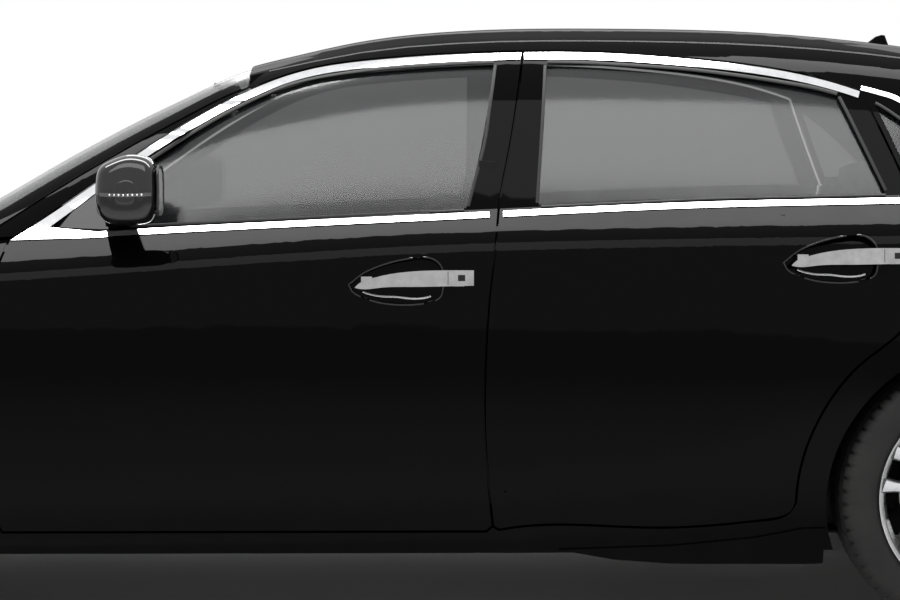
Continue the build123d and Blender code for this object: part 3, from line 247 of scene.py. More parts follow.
# %% rubber and metals
def rubber_finish():
    f = Finish("tyre_rubber", Specular_IOR_Level=0.35)
    dust = f.noise(14.0, 6.0)
    f.set(Base_Color=f.ramp(dust, (0.35, grey(0.006)), (0.75, (0.018, 0.0175, 0.0165, 1))))
    f.set(Roughness=0.62 + dust * 0.25)
    return f.bump(f.noise(220.0, 5.0), 0.25, 0.0006).mat


def alloy_finish(name, colour, rough):
    f = Finish(name, Metallic=0.95, Coat_Weight=0.5, Coat_Roughness=0.08)
    flake = f.noise(500.0, 2.0)
    lighter = tuple(min(1, c * 1.18) for c in colour[:3]) + (1,)
    f.set(Base_Color=f.mix(flake, colour, lighter))
    f.set(Roughness=rough + f.noise(30.0) * 0.1)
    return f.bump(flake, 0.04, 0.0003).mat


def cast_finish(name, colour, rust):
    f = Finish(name, Metallic=0.6)
    patches = f.noise(18.0, 8.0, 0.7)
    f.set(Base_Color=f.ramp(patches, (0.4, colour), (0.72, rust)))
    f.set(Roughness=0.5 + patches * 0.3)
    return f.bump(f.noise(160.0, 4.0), 0.4, 0.001).mat


def disc_finish():
    """Brake disc: fine concentric lines turned about the axle."""
    f = Finish("turned_disc", Metallic=1.0)
    lines = f.noise(3.0, 2.0, 0.6, f.stretch(240, 1, 240))
    f.set(Base_Color=f.ramp(lines, (0.3, grey(0.32)), (0.7, grey(0.48))))
    f.set(Roughness=0.28 + lines * 0.14)
    return f.mat


RUBBER = rubber_finish()
ALLOY = alloy_finish("silver_alloy", (0.50, 0.51, 0.52, 1), 0.22)
ALLOY_DARK = alloy_finish("shadow_alloy", (0.08, 0.08, 0.085, 1), 0.35)
SATIN = alloy_finish("satin_silver", (0.38, 0.38, 0.39, 1), 0.35)
IRON = cast_finish("cast_iron", (0.10, 0.10, 0.105, 1), (0.13, 0.09, 0.07, 1))
CHASSIS = cast_finish("chassis_black", (0.016, 0.016, 0.017, 1), (0.04, 0.036, 0.033, 1))
STEEL = cast_finish("exhaust_steel", (0.36, 0.34, 0.31, 1), (0.24, 0.19, 0.14, 1))
DISC = disc_finish()

# %% [markdown]
# Leather shows soft creases over a fine pebble, and carpet a deep random pile.

# %% cabin finishes
def leather_finish(name, colour):
    f = Finish(name, Specular_IOR_Level=0.4, Coat_Weight=0.05)
    pebble = f.add("TexVoronoi", {"feature": "DISTANCE_TO_EDGE"}, {"Vector": f.spot, "Scale": 330})
    crease = f.noise(16.0, 6.0, 0.6)
    light = tuple(c * 1.5 for c in colour[:3]) + (1,)
    f.set(Base_Color=f.mix(crease, colour, light))
    f.set(Roughness=0.42 + crease * 0.2)
    return f.bump(pebble * 0.8 + crease * 0.6, 0.3, 0.0012).mat


def carpet_finish():
    f = Finish("loop_carpet", Roughness=0.95, Specular_IOR_Level=0.15)
    pile = f.noise(420.0, 3.0, 0.8)
    f.set(Base_Color=f.ramp(pile, (0.3, grey(0.010)), (0.75, grey(0.034))))
    return f.bump(pile, 0.9, 0.003).mat


def lens_finish(name, colour):
    """Coloured lens with fine moulded ribs, unlit; the colour is painted darker in the rib troughs,
    a painted shade.
    """
    f = Finish(name, Roughness=0.15, Coat_Weight=1.0, Coat_Roughness=0.02,
               Emission_Strength=0.0)
    ribs = f.add("TexWave", {"bands_direction": "Z"}, {"Vector": f.spot, "Scale": 28.0})
    # painted shade: the rib troughs get a darker copy of the lens colour
    dark = tuple(c * 0.55 for c in colour[:3]) + (1,)
    f.set(Base_Color=f.mix(ribs, dark, colour))
    return f.bump(ribs, 0.15, 0.001).mat


LEATHER = leather_finish("charcoal_leather", (0.030, 0.029, 0.028, 1))
CARPET = carpet_finish()
RED_LENS = lens_finish("red_lens", (0.32, 0.006, 0.006, 1))
WHITE_LENS = lens_finish("clear_ribbed_lens", (0.72, 0.73, 0.75, 1))
CLEAR = glass_finish("clear_cover", (0.35, 0.36, 0.38, 1), 0.16)
SMOKE = lens_finish("smoked_lens", (0.05, 0.045, 0.045, 1))


def silver_finish():
    """Mirror silvering behind glass, faintly streaked."""
    f = Finish("mirror_silver", Metallic=1.0)
    f.set(Base_Color=f.ramp(f.noise(7.0, 5.0), (0.2, grey(0.62)), (0.8, grey(0.70))))
    f.set(Roughness=0.02 + f.noise(30.0) * 0.02)
    return f.mat


SILVERED = silver_finish()
PIPING = leather_finish("leather_piping", (0.016, 0.016, 0.016, 1))


def woven_finish(name, colour, scale, depth):
    """Woven cloth: two crossed waves, one over the other."""
    f = Finish(name, Roughness=0.85, Specular_IOR_Level=0.2)
    warp = f.add("TexWave", {"bands_direction": "X"}, {"Vector": f.spot, "Scale": scale})
    weft = f.add("TexWave", {"bands_direction": "Y"}, {"Vector": f.spot, "Scale": scale})
    light = tuple(c * 1.35 for c in colour[:3]) + (1,)
    f.set(Base_Color=f.mix(warp * weft, colour, light))
    f.set(Roughness=0.75 + f.noise(40.0) * 0.2)
    return f.bump(warp * 0.5 + weft * 0.5, 0.35, depth).mat


HEADCLOTH = woven_finish("headliner_cloth", (0.30, 0.29, 0.275, 1), 260.0, 0.0006)
WEBBING = woven_finish("belt_webbing_cloth", (0.012, 0.012, 0.013, 1), 300.0, 0.0005)
THREAD = woven_finish("stitching_thread", (0.14, 0.13, 0.12, 1), 500.0, 0.0003)
SCREEN = plastic_finish("dark_screen", (0.004, 0.005, 0.007, 1), 0.06, 900, 0.0)
MILKY = plastic_finish("milky_plastic", (0.60, 0.60, 0.56, 1), 0.4, 300, 0.0002)


def grille_finish():
    """Bright frame, black bars: two boxes in the object's own space mark the bars."""
    f = Finish("grille_bars_and_frame", Coat_Weight=0.2)
    y, z = f.add("Math", {"operation": "ABSOLUTE"}, {0: f.axis("Y")}), f.axis("Z")
    over = lambda v, limit: f.add("Math", {"operation": "GREATER_THAN"}, {0: v, 1: limit})
    main_bars = (1 - over(y, 0.4018)) * over(z, 0.3182) * (1 - over(z, 0.5918))
    low_bars = (1 - over(y, 0.5515)) * over(z, 0.2083) * (1 - over(z, 0.2537))
    bars = f.add("Math", {"operation": "MAXIMUM"}, {0: main_bars, 1: low_bars})
    haze = f.noise(40.0, 3.0)
    bright = f.ramp(haze, (0.3, grey(0.78)), (0.8, grey(0.88)))
    f.set(Base_Color=f.mix(bars, bright, grey(0.010)))
    f.set(Metallic=1 - bars * 0.9, Roughness=0.06 + bars * 0.12 + haze * 0.05)
    return f.mat


GRILLE_TRIM = grille_finish()
PLATE_WHITE = plastic_finish("plate_white", (0.62, 0.62, 0.60, 1), 0.35, 900, 0.0001)

# %% [markdown]
# Every node that came from the solid model and stays in view gets its finish here.

# %% dress the solid model
def four(pattern):
    """Names of the four like nodes, one at each end and hand."""
    return [pattern.format(e=e, h=h) for e in ENDS for h, _ in HANDS]


DRESS = {
    PAINT: ["body_sides", "fenders", "hood", "boot_lid", "roof_panel", "front_bumper",
            "rear_bumper"] + four("{e}_door_{h}"),
    GLASS: ["fixed_glass"] + four("{e}_glass_{h}"),
    GRILLE_TRIM: ["grille"],
    CHROME: four("{e}_trim_{h}"),
    BLACK_GLOSS: ["mirror_left", "mirror_right"],
    TRIM_BLACK: ["cowl", "wheelhouses"],
    CHASSIS: ["rear_axle", "front_subframe", "floor_pan"],
    IRON: ["knuckle_left", "knuckle_right", "engine_block"],
    STEEL: ["exhaust"],
    DASH: ["dashboard"],
    RUBBER: four("tyre_{e}_{h}"),
    ALLOY: four("wheel_{e}_{h}"),
    LEATHER: ["seats", "steering_wheel"],
    CLEAR: ["headlamps"],
    RED_LENS: ["tail_lamps"],
}
for finish, names in DRESS.items():
    for name in names:
        for s in nodes[name].material_slots:
            s.material = finish
print("dressed", sum(len(v) for v in DRESS.values()), "nodes")

# %% [markdown]
# Pieces are built from points. piece() turns points and faces into a smooth object that rides
# on its body, so that a door's trim swings with the door.

# %% making a piece
def piece(name, verts, faces, body, finish):
    mesh = bpy.data.meshes.new(name)
    mesh.from_pydata([tuple(v) for v in verts], [], [tuple(f) for f in faces])
    bm = bmesh.new()
    bm.from_mesh(mesh)
    bmesh.ops.remove_doubles(bm, verts=bm.verts, dist=1e-6)
    bmesh.ops.recalc_face_normals(bm, faces=bm.faces)
    bm.to_mesh(mesh)
    bm.free()
    mesh.polygons.foreach_set("use_smooth", [True] * len(mesh.polygons))
    mesh.materials.append(finish)
    obj = bpy.data.objects.new(name, mesh)
    bpy.context.scene.collection.objects.link(obj)
    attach(obj, body)
    return obj


def rings(rows):
    """Faces between rows of points that close in both directions, as a ring of rubber does."""
    n, m = len(rows), len(rows[0])
    faces = []
    for i in range(n):
        for j in range(m):
            a, b, k = i * m, ((i + 1) % n) * m, (j + 1) % m
            faces.append((a + j, a + k, b + k, b + j))
    return [p for row in rows for p in row], faces


# %% [markdown]
# A tyre is one closed ring of rubber. Its outside is pushed in along four drain grooves and
# across each pitch of the shoulder blocks, which gives the toothed edge seen from the side.

# %% tyres
PITCHES, STEPS = 66, 8                # tread pitches round a tyre, and steps in each
GROOVE, SLOT, SIPE = 0.0072, 0.006, 0.004          # how deep each is cut, in metres
SHOULDER = 0.0335                     # the shoulder blocks start this far below the tread
CAMBER = 0.00384                      # how much lower the tread is at its edge
SIDEWALL = ((-0.001, 0.86), (0.012, 0.95), (0.028, 0.985), (0.042, 0.992))
CROWN = ((0.034, 1.0), (0.026, 0.992), (0.018, 0.975), (0.013, 0.95), (0.0085, 0.915),
         (0.0045, 0.87))
TREAD = (0.80, 0.72, 0.645, 0.63, 0.55, 0.535, 0.46, 0.38, 0.30, 0.215, 0.20, 0.12, 0.105, 0.05)


def tread_cut(depth, w, step):
    """How far the rubber is pushed in, depth below the tread and w of the half width out."""
    phase = step % STEPS
    cut = 0.0
    if depth < 0.008:
        if any(abs(w - at) < 0.02 for at in (0.21, 0.54, 0.637)):
            cut = GROOVE
        if 0.66 < w < 0.96 and phase in (0, 1):
            cut = max(cut, SLOT)
        if 0.23 < w < 0.52 and (phase + int(w * 12)) % STEPS == 2:
            cut = max(cut, SIPE)
    elif depth < SHOULDER and w > 0.9 and phase in (0, 1):
        cut = SLOT / 2
    return cut


def tyre_mesh(end, hand):
    lo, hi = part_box(f"tyre_{end}_{hand}")
    cx, cz = (lo.x + hi.x) / 2, (lo.z + hi.z) / 2
    big, half, mid = (hi.z - lo.z) / 2, (hi.y - lo.y) / 2, (lo.y + hi.y) / 2
    rim_r = big * 0.74
    outer = [(rim_r + up, w) for up, w in SIDEWALL] + [(big - down, w) for down, w in CROWN]
    outer += [(big - CAMBER * w * w, w) for w in TREAD]
    inner = [(big - 0.016, 0.0), (big - 0.017, 0.7), (big - 0.03, 0.9), (rim_r + 0.04, 0.93),
             (rim_r + 0.006, 0.84)]
    loop = [(r, w) for r, w in outer] + [(r, -w) for r, w in reversed(outer)] + \
        [(r, -w) for r, w in reversed(inner[1:])] + inner
    rows, n = [], PITCHES * STEPS
    for i in range(n):
        t = 2 * math.pi * i / n
        row = []
        for r, w in loop:
            r -= tread_cut(big - r, abs(w), i)
            row.append((cx + r * math.sin(t), mid + w * half, cz + r * math.cos(t)))
        rows.append(row)
    return rings(rows)


for end in ENDS:
    for hand, _ in HANDS:
        points, faces = tyre_mesh(end, hand)
        tyre = piece(f"tread_tyre_{end}_{hand}", points, faces, f"wheel_{end}_{hand}", RUBBER)
        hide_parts(f"tyre_{end}_{hand}")
print("tyres:", len(faces), "faces each")

# %% [markdown]
# Small trim has to lie on curved panels. A search tree over a node of the solid model finds
# where a straight ray first meets it, so a strip or lens can follow the real surface.

# %% finding a surface
TREES = {}


def touch(names, start, way):
    """First spot met on the named nodes along a direction, with its outward normal."""
    best = None
    for name in names:
        if name not in TREES:
            mesh = nodes[name].data
            TREES[name] = BVHTree.FromPolygons([v.co for v in mesh.vertices],
                                               [p.vertices[:] for p in mesh.polygons])
        spot, normal, _, far = TREES[name].ray_cast(Vector(start), Vector(way))
        if spot is not None and (best is None or far < best[2]):
            best = (spot, normal if normal.dot(Vector(way)) < 0 else -normal, far)
    return best


def from_front(names, y, z):
    return touch(names, (-BEYOND, y, z), (1, 0, 0))


def from_behind(names, y, z):
    return touch(names, (BEYOND, y, z), (-1, 0, 0))


def from_above(names, x, y):
    return touch(names, (x, y, OVERHEAD), (0, 0, -1))


def flow(points, step=0.02):
    """Points along a smooth line through a few given ones."""
    pts = [Vector(p) for p in points]
    if len(pts) == 2:
        return [pts[0].lerp(pts[1], i / 6) for i in range(7)]
    ends = [pts[0] * 2 - pts[1]] + pts + [pts[-1] * 2 - pts[-2]]
    out = []
    for a, b, c, d in zip(ends, ends[1:], ends[2:], ends[3:]):
        n = max(1, round((c - b).length / step))
        for i in range(n):
            t = i / n
            out.append(0.5 * (2 * b + (c - a) * t + (2 * a - 5 * b + 4 * c - d) * t * t
                              + (3 * b - a - 3 * c + d) * t * t * t))
    return out + [pts[-1]]


def draped(names, line, side=-1, way="y"):
    """A line of (along, up) pairs laid on the nodes: spots and normals."""
    out = []
    for a, b in line:
        start, go = {"y": ((a, side * BESIDE, b), (0, -side, 0)),
                     "x": ((side * BEYOND, a, b), (-side, 0, 0)),
                     "z": ((a, b, OVERHEAD), (0, 0, -1))}[way]
        hit = touch(names, start, go)
        if hit:
            out.append((hit[0], hit[1]))
    return out


# %% [markdown]
# Shape gathers points and faces from a few plain moves: a grid of rows, a swept bar, a tube,
# a turned profile, a cut outline. Its last move makes the piece, with softened edges.

# %% gathering a shape
def oval(w, h, sides=10, power=2.0):
    """Closed cross-section, from an ellipse (power 2) to a rounded box (power 5)."""
    out = []
    for i in range(sides):
        t = 2 * math.pi * i / sides
        c, s = math.cos(t), math.sin(t)
        out.append((math.copysign(abs(c) ** (2 / power), c) * w / 2,
                    math.copysign(abs(s) ** (2 / power), s) * h / 2))
    return out


class Shape:
    """Points and faces on their way to becoming a piece."""
    def __init__(self):
        self.v, self.f = [], []

    def grid(self, rows, around=False, across=False, caps=False):
        base, n, m = len(self.v), len(rows), len(rows[0])
        self.v += [Vector(p) for row in rows for p in row]
        for i in range(n if around else n - 1):
            for j in range(m if across else m - 1):
                a, b, k = base + i * m, base + ((i + 1) % n) * m, (j + 1) % m
                self.f.append((a + j, a + k, b + k, b + j))
        if caps:
            self.f.append(tuple(base + j for j in range(m)))
            self.f.append(tuple(base + (n - 1) * m + j for j in range(m)))
        return self

    def box(self, lo, hi):
        (x0, y0, z0), (x1, y1, z1) = lo, hi
        rows = [[(x, y0, z0), (x, y1, z0), (x, y1, z1), (x, y0, z1)] for x in (x0, x1)]
        return self.grid(rows, across=True, caps=True)

    def bar(self, line, section, up=(0, 0, 1), closed=False):
        """Cross-section carried along a line; up is one direction or one per point."""
        pts = [Vector(p) for p in line]
        rows, n = [], len(pts)
        for i, p in enumerate(pts):
            a = pts[(i - 1) % n] if closed else pts[max(i - 1, 0)]
            b = pts[(i + 1) % n] if closed else pts[min(i + 1, n - 1)]
            along = (b - a).normalized()
            high = Vector(up[i] if isinstance(up, list) else up)
            wide = along.cross(high).normalized()
            high = wide.cross(along).normalized()
            k = section(i / (n - 1)) if callable(section) else section
            rows.append([p + wide * u + high * w for u, w in k])
        return self.grid(rows, around=closed, across=True, caps=not closed)

    def tube(self, line, r, sides=12):
        """Round bar; its cross-section is held upright unless the line itself stands."""
        span = Vector(line[-1]) - Vector(line[0])
        up = (0, 0, 1) if abs(span.z) < 0.9 * span.length else (0, 1, 0)
        return self.bar(line, oval(2 * r, 2 * r, sides), up)

    def turned(self, centre, profile, steps=48, axis=(0, 1, 0)):
        """Profile of (radius, along) pairs turned about an axis through a centre."""
        axis, centre = Vector(axis).normalized(), Vector(centre)
        side = axis.orthogonal().normalized()
        up = axis.cross(side)
        rows = []
        for i in range(steps):
            t = 2 * math.pi * i / steps
            out = side * math.cos(t) + up * math.sin(t)
            rows.append([centre + out * r + axis * a for r, a in profile])
        return self.grid(rows, around=True)

    def slab(self, outline, lift, thick):
        """A closed outline of points, carried along a vector."""
        pts = [Vector(p) + Vector(lift) for p in outline]
        return self.grid([pts, [p + Vector(thick) for p in pts]], across=True, caps=True)

    def make(self, name, body, finish, bevel=0.0, thick=0.0, sub=0, sharp=35):
        obj = piece(name, self.v, self.f, body, finish)
        obj.data.set_sharp_from_angle(angle=math.radians(sharp))
        if thick:
            m = obj.modifiers.new("wall", "SOLIDIFY")
            m.thickness, m.offset = thick, 0.0
        if bevel:
            m = obj.modifiers.new("soft_edge", "BEVEL")
            m.width, m.segments, m.limit_method = bevel, 2, "ANGLE"
        if sub:
            m = obj.modifiers.new("smooth", "SUBSURF")
            m.levels = m.render_levels = sub
        return obj


def strip_section(w, h):
    """A raised strip: flat foot, round shoulders."""
    return [(-w / 2, -0.0005), (-w / 2, h * 0.55), (-w * 0.32, h * 0.95), (0, h * 1.05),
            (w * 0.32, h * 0.95), (w / 2, h * 0.55), (w / 2, -0.0005)]


def lay_strip(name, names, line, w, h, body, finish, side=-1, way="y", step=0.02):
    """A raised strip laid on a panel along a smooth line."""
    flat = [(p.x, p.y) for p in flow([(a, b, 0) for a, b in line], step)]
    spots = draped(names, flat, side, way)
    s = Shape().bar([p for p, _ in spots], strip_section(w, h), [n for _, n in spots])
    return s.make(name, body, finish)


# %% [markdown]
# A cast wheel is machined from one piece: a barrel with a drop well, an outer lip, a hub and
# five pairs of spokes. The spokes are swept from the hub to the lip, narrow on top and wider
# below, so their pockets look deep; a thin machined edge catches the light.

# %% wheels
DATUM = 0.9          # wheel depths are measured inward from |y| = DATUM
PAIRS = 5            # pairs of spokes, and wheel bolts


def spoke(shape, centre, side, turn, lean, face, lip):
    """One spoke of a pair: a crowned bar from the hub out to the lip."""
    rows = []
    for t in spread(0.0, 1.0, 12):
        r = 0.048 + (lip - 0.048) * t
        off = lean * (0.0135 + 0.030 * t ** 1.3)
        half = 0.0115 + 0.0035 * t + 0.006 * max(0, t - 0.85) / 0.15
        if t < 0.2:
            half += 0.006 * (1 - t / 0.2)
        top = face + 0.022 - 0.020 * t ** 1.8 + 0.004 * math.sin(math.pi * t)
        deep = top + 0.040 - 0.012 * t
        section = [(-half, deep), (-half * 0.96, top + 0.010), (-half * 0.80, top + 0.0022),
                   (-half * 0.66, top), (0, top + 0.0016), (half * 0.66, top),
                   (half * 0.80, top + 0.0022), (half * 0.96, top + 0.010), (half, deep)]
        row = []
        for u, y in section:
            x, z = off + u, r
            row.append((centre[0] + x * math.cos(turn) + z * math.sin(turn),
                        side * (DATUM - y), centre[2] - x * math.sin(turn) + z * math.cos(turn)))
        rows.append(row)
    shape.grid(rows, across=True, caps=True)


def wheel_pieces(end, hand, side):
    lo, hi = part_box(f"wheel_{end}_{hand}")
    centre = ((lo.x + hi.x) / 2, 0.0, (lo.z + hi.z) / 2)
    body, lip = f"wheel_{end}_{hand}", 0.231
    y = lambda depth: side * (DATUM - depth)
    rim = Shape()
    rim.turned(centre, [(0.2455, y(0.0125)), (0.2495, y(0.0135)), (0.2505, y(0.018)),
                        (0.2475, y(0.024)), (0.2465, y(0.060)), (0.2280, y(0.085)),
                        (0.2270, y(0.150)), (0.2420, y(0.190)), (0.2465, y(0.226)),
                        (0.2505, y(0.230)), (0.2490, y(0.234)), (0.2410, y(0.232)),
                        (0.2350, y(0.192)), (0.2200, y(0.150)), (0.2205, y(0.088)),
                        (0.2330, y(0.052)), (0.2360, y(0.026)), (0.2405, y(0.0165)),
                        (0.2455, y(0.0125))], 120)
    for i in range(PAIRS):
        turn = 2 * math.pi * i / PAIRS
        for lean in (-1, 1):
            spoke(rim, centre, side, turn, lean, 0.006, lip + 0.006)
    rim.turned(centre, [(0.0, y(0.030)), (0.030, y(0.030)), (0.033, y(0.033)),
                        (0.034, y(0.027)), (0.052, y(0.028)), (0.068, y(0.033)),
                        (0.073, y(0.045)), (0.074, y(0.095)), (0.0, y(0.095))], 60)
    done = rim.make(f"cast_wheel_{end}_{hand}", body, ALLOY)
    edge = Shape().turned(centre, [(0.2408, y(0.0150)), (0.2458, y(0.0112)), (0.2492, y(0.0120)),
                                   (0.2470, y(0.0150)), (0.2408, y(0.0150))], 120)
    edge.make(f"machined_lip_{end}_{hand}", body, CHROME)
    cap = Shape().turned(centre, [(0.0, y(0.0265)), (0.012, y(0.0262)), (0.024, y(0.0270)),
                                  (0.0285, y(0.0290)), (0.0295, y(0.034)), (0.0, y(0.034))], 40)
    cap.make(f"centre_cap_{end}_{hand}", body, SATIN)
    bolts = Shape()
    for i in range(PAIRS):
        t = 2 * math.pi * (i + 0.5) / PAIRS
        at = (centre[0] + 0.056 * math.sin(t), 0, centre[2] + 0.056 * math.cos(t))
        bolts.turned(at, [(0.0, y(0.036)), (0.0065, y(0.036)), (0.0075, y(0.038)),
                          (0.0078, y(0.046)), (0.0105, y(0.048)), (0.0105, y(0.052))], 12)
    bolts.make(f"wheel_bolts_{end}_{hand}", body, STEEL)
    t = math.radians(36)
    at = Vector((centre[0] + 0.226 * math.sin(t), y(0.034), centre[2] + 0.226 * math.cos(t)))
    inward = Vector((-math.sin(t), side * 0.35, -math.cos(t))).normalized()
    valve = Shape().turned(at, [(0.0, 0.030), (0.0030, 0.030), (0.0034, 0.018), (0.0026, 0.017),
                                (0.0030, 0.004), (0.0055, 0.0), (0.0, -0.002)], 14, inward)
    valve.make(f"tyre_valve_{end}_{hand}", body, SEAL)
    brake = Shape()
    hub = 0.095                        # depth of the disc's bell
    for a, b in ((hub + 0.012, hub + 0.021), (hub + 0.033, hub + 0.042)):
        brake.turned(centre, [(0.086, y(a)), (0.178, y(a)), (0.180, y(a + 0.001)),
                              (0.180, y(b - 0.001)), (0.178, y(b)), (0.086, y(b)),
                              (0.086, y(a))], 90)
    for i in range(40):
        t = 2 * math.pi * i / 40
        c, s = math.cos(t), math.sin(t)
        line = [(centre[0] + r * s, y(hub + 0.027), centre[2] + r * c) for r in (0.095, 0.177)]
        brake.bar(line, oval(0.004, 0.0122, 4), (0, 1, 0))
    brake.turned(centre, [(0.0, y(hub)), (0.080, y(hub)), (0.0845, y(hub + 0.004)),
                          (0.088, y(hub + 0.036)), (0.086, y(hub + 0.042)), (0.030, y(hub + 0.042)),
                          (0.030, y(hub + 0.010)), (0.0, y(hub + 0.010))], 60)
    brake.make(f"vented_disc_{end}_{hand}", body, DISC)
    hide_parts(f"wheel_{end}_{hand}")


for end in ENDS:
    both_sides(lambda hand, side: wheel_pieces(end, hand, side))
print("wheels with caps, bolts, valves and vented discs")

# %% [markdown]
# The pull handle is a bar over a scooped cup. The solid model has both; here come the parts
# that make it read as a handle: a black lip round the cup, the bright rail inside it, the
# seam of the end cap and the small touch button.

# %% door handles
HANDLES = (("front", 0.0, 0.0), ("rear", 1.035, 0.052))     # the rear one's shift in x and z
CUP_TOP = [(-0.216, 0.858), (-0.170, 0.890), (-0.095, 0.914), (-0.028, 0.920), (0.002, 0.896)]
CUP_LOW = [(0.004, 0.850), (-0.008, 0.824), (-0.060, 0.812), (-0.140, 0.816), (-0.200, 0.836)]


def cup_details(end, dx, dz, hand, side):
    door, body = [f"{end}_door_{hand}"], f"{end}_door_{hand}"
    loop = [(x + dx, z + dz, 0) for x, z in CUP_TOP + CUP_LOW]
    ring = flow(loop + loop[:1], 0.008)[:-1]
    mid = Vector((-0.105 + dx, 0.865 + dz, 0))
    grown = [p + (p - mid).normalized() * 0.0022 for p in ring]
    spots = draped(door, [(p.x, p.y) for p in grown], side)
    lip = Shape().bar([p for p, _ in spots], oval(0.0042, 0.0030, 8),
                      [Vector((0, side, 0))] * len(spots), closed=True)
    lip.make(f"cup_lip_{end}_{hand}", body, BLACK_GLOSS)
    inner = [p + (mid - p).normalized() * 0.016 for p in ring]
    low = [p for p in inner if p.y < 0.855 + dz and -0.19 + dx < p.x < -0.02 + dx]
    base = touch(door, (mid.x, side * BESIDE, 0.775 + dz), (0, -side, 0))[0].y
    rail = Shape().bar([(p.x, base - side * 0.008, p.y) for p in low], oval(0.0055, 0.006, 8),
                       (0, side, 0))
    rail.make(f"cup_rail_{end}_{hand}", body, SATIN)
    bar = [f"{end}_trim_{hand}"]
    heights = (0.8585, 0.866, 0.874, 0.882, 0.8900)
    line = draped(bar, [(0.018 + dx, z + dz) for z in heights], side)
    seam = Shape().bar([p for p, _ in line], oval(0.0016, 0.0010, 6), [n for _, n in line])
    seam.make(f"handle_seam_{end}_{hand}", body, SEAL)
    spot = touch(bar, (0.050 + dx, side * BESIDE, 0.875 + dz), (0, -side, 0))[0]
    button = Shape().box((spot.x - 0.0085, spot.y - 0.0012, spot.z - 0.0075),
                         (spot.x + 0.0085, spot.y + 0.0012, spot.z + 0.0075))
    button.make(f"touch_button_{end}_{hand}", body, BLACK_GLOSS, bevel=0.0008)


for end, dx, dz in HANDLES:
    both_sides(lambda hand, side: cup_details(end, dx, dz, hand, side))

# %% [markdown]
# A soft rubber seal fills the step between the bright strip and the glass, and a wiping lip
# lies along the belt. Both are black lines that make the window read as glass in a frame.

# %% window seals
FRONT_SEAL = [(0.134, 1.392), (0.030, 1.388), (-0.160, 1.374), (-0.325, 1.349), (-0.436, 1.311),
              (-0.570, 1.241), (-0.735, 1.135), (-0.770, 1.112)]
REAR_SEAL = [(0.268, 1.393), (0.400, 1.389), (0.645, 1.371), (0.890, 1.335), (0.985, 1.313)]


def window_seals(hand, side):
    for end, head in (("front", FRONT_SEAL), ("rear", REAR_SEAL)):
        body = f"{end}_door_{hand}"
        lay_strip(f"head_seal_{end}_{hand}", [body], [(x, z + 0.003) for x, z in head], 0.011,
                  0.003, body, SEAL, side)
    posts = (("front", [(0.138, 1.386), (0.122, 1.280), (0.108, 1.190), (0.068, 1.040)]),
             ("rear", [(0.262, 1.386), (0.251, 1.240), (0.236, 1.048)]),
             ("rear", [(0.989, 1.308), (1.040, 1.190), (1.090, 1.078)]))
    for i, (end, line) in enumerate(posts):
        body = f"{end}_door_{hand}"
        lay_strip(f"post_seal_{i}_{hand}", [body], line, 0.008, 0.003, body, SEAL, side)
    for end, x0, x1 in (("front", -0.755, 0.058), ("rear", 0.244, 1.082)):
        body = f"{end}_door_{hand}"
        line = [(x, belt_height(x) + 0.0055) for x in spread(x0, x1, 4)]
        lay_strip(f"belt_wiper_{end}_{hand}", [body], line, 0.008, 0.004, body, SEAL, side)


BELT = ((-0.763, 0.985), (0.024, 1.024), (0.650, 1.052), (1.116, 1.062), (1.500, 1.072))


def belt_height(x):
    """Height of the belt line, read between its known points."""
    for (x0, z0), (x1, z1) in zip(BELT, BELT[1:]):
        if x <= x1:
            break
    return z0 + (z1 - z0) * (x - x0) / (x1 - x0)


both_sides(window_seals)

# %% [markdown]
# Behind the rear door the bright strip goes on round the small fixed window, and a black
# divider stands between that window and the door's glass.

# %% quarter window trim
QUARTER_EDGE = [(1.046, 1.330), (1.090, 1.318), (1.141, 1.299), (1.230, 1.238), (1.300, 1.163),
                (1.332, 1.108), (1.322, 1.087), (1.240, 1.076), (1.158, 1.068)]


def quarter_trim(hand, side):
    body, names = "car_body", ["body_sides"]
    lay_strip(f"quarter_strip_{hand}", names, QUARTER_EDGE[:6], 0.016, 0.004, body, CHROME, side,
              step=0.012)
    lay_strip(f"quarter_sill_{hand}", names, QUARTER_EDGE[5:], 0.013, 0.004, body, CHROME, side,
              step=0.008)
    lay_strip(f"quarter_seal_{hand}", names, [(1.078, 1.293), (1.112, 1.272), (1.208, 1.195),
                                              (1.291, 1.103)], 0.008, 0.003, body, SEAL, side)


both_sides(quarter_trim)

# %% [markdown]
# The door mirror's shell is gloss black. It carries silvered glass on its rear face and a
# slim turn lamp with small facets along its outer edge.

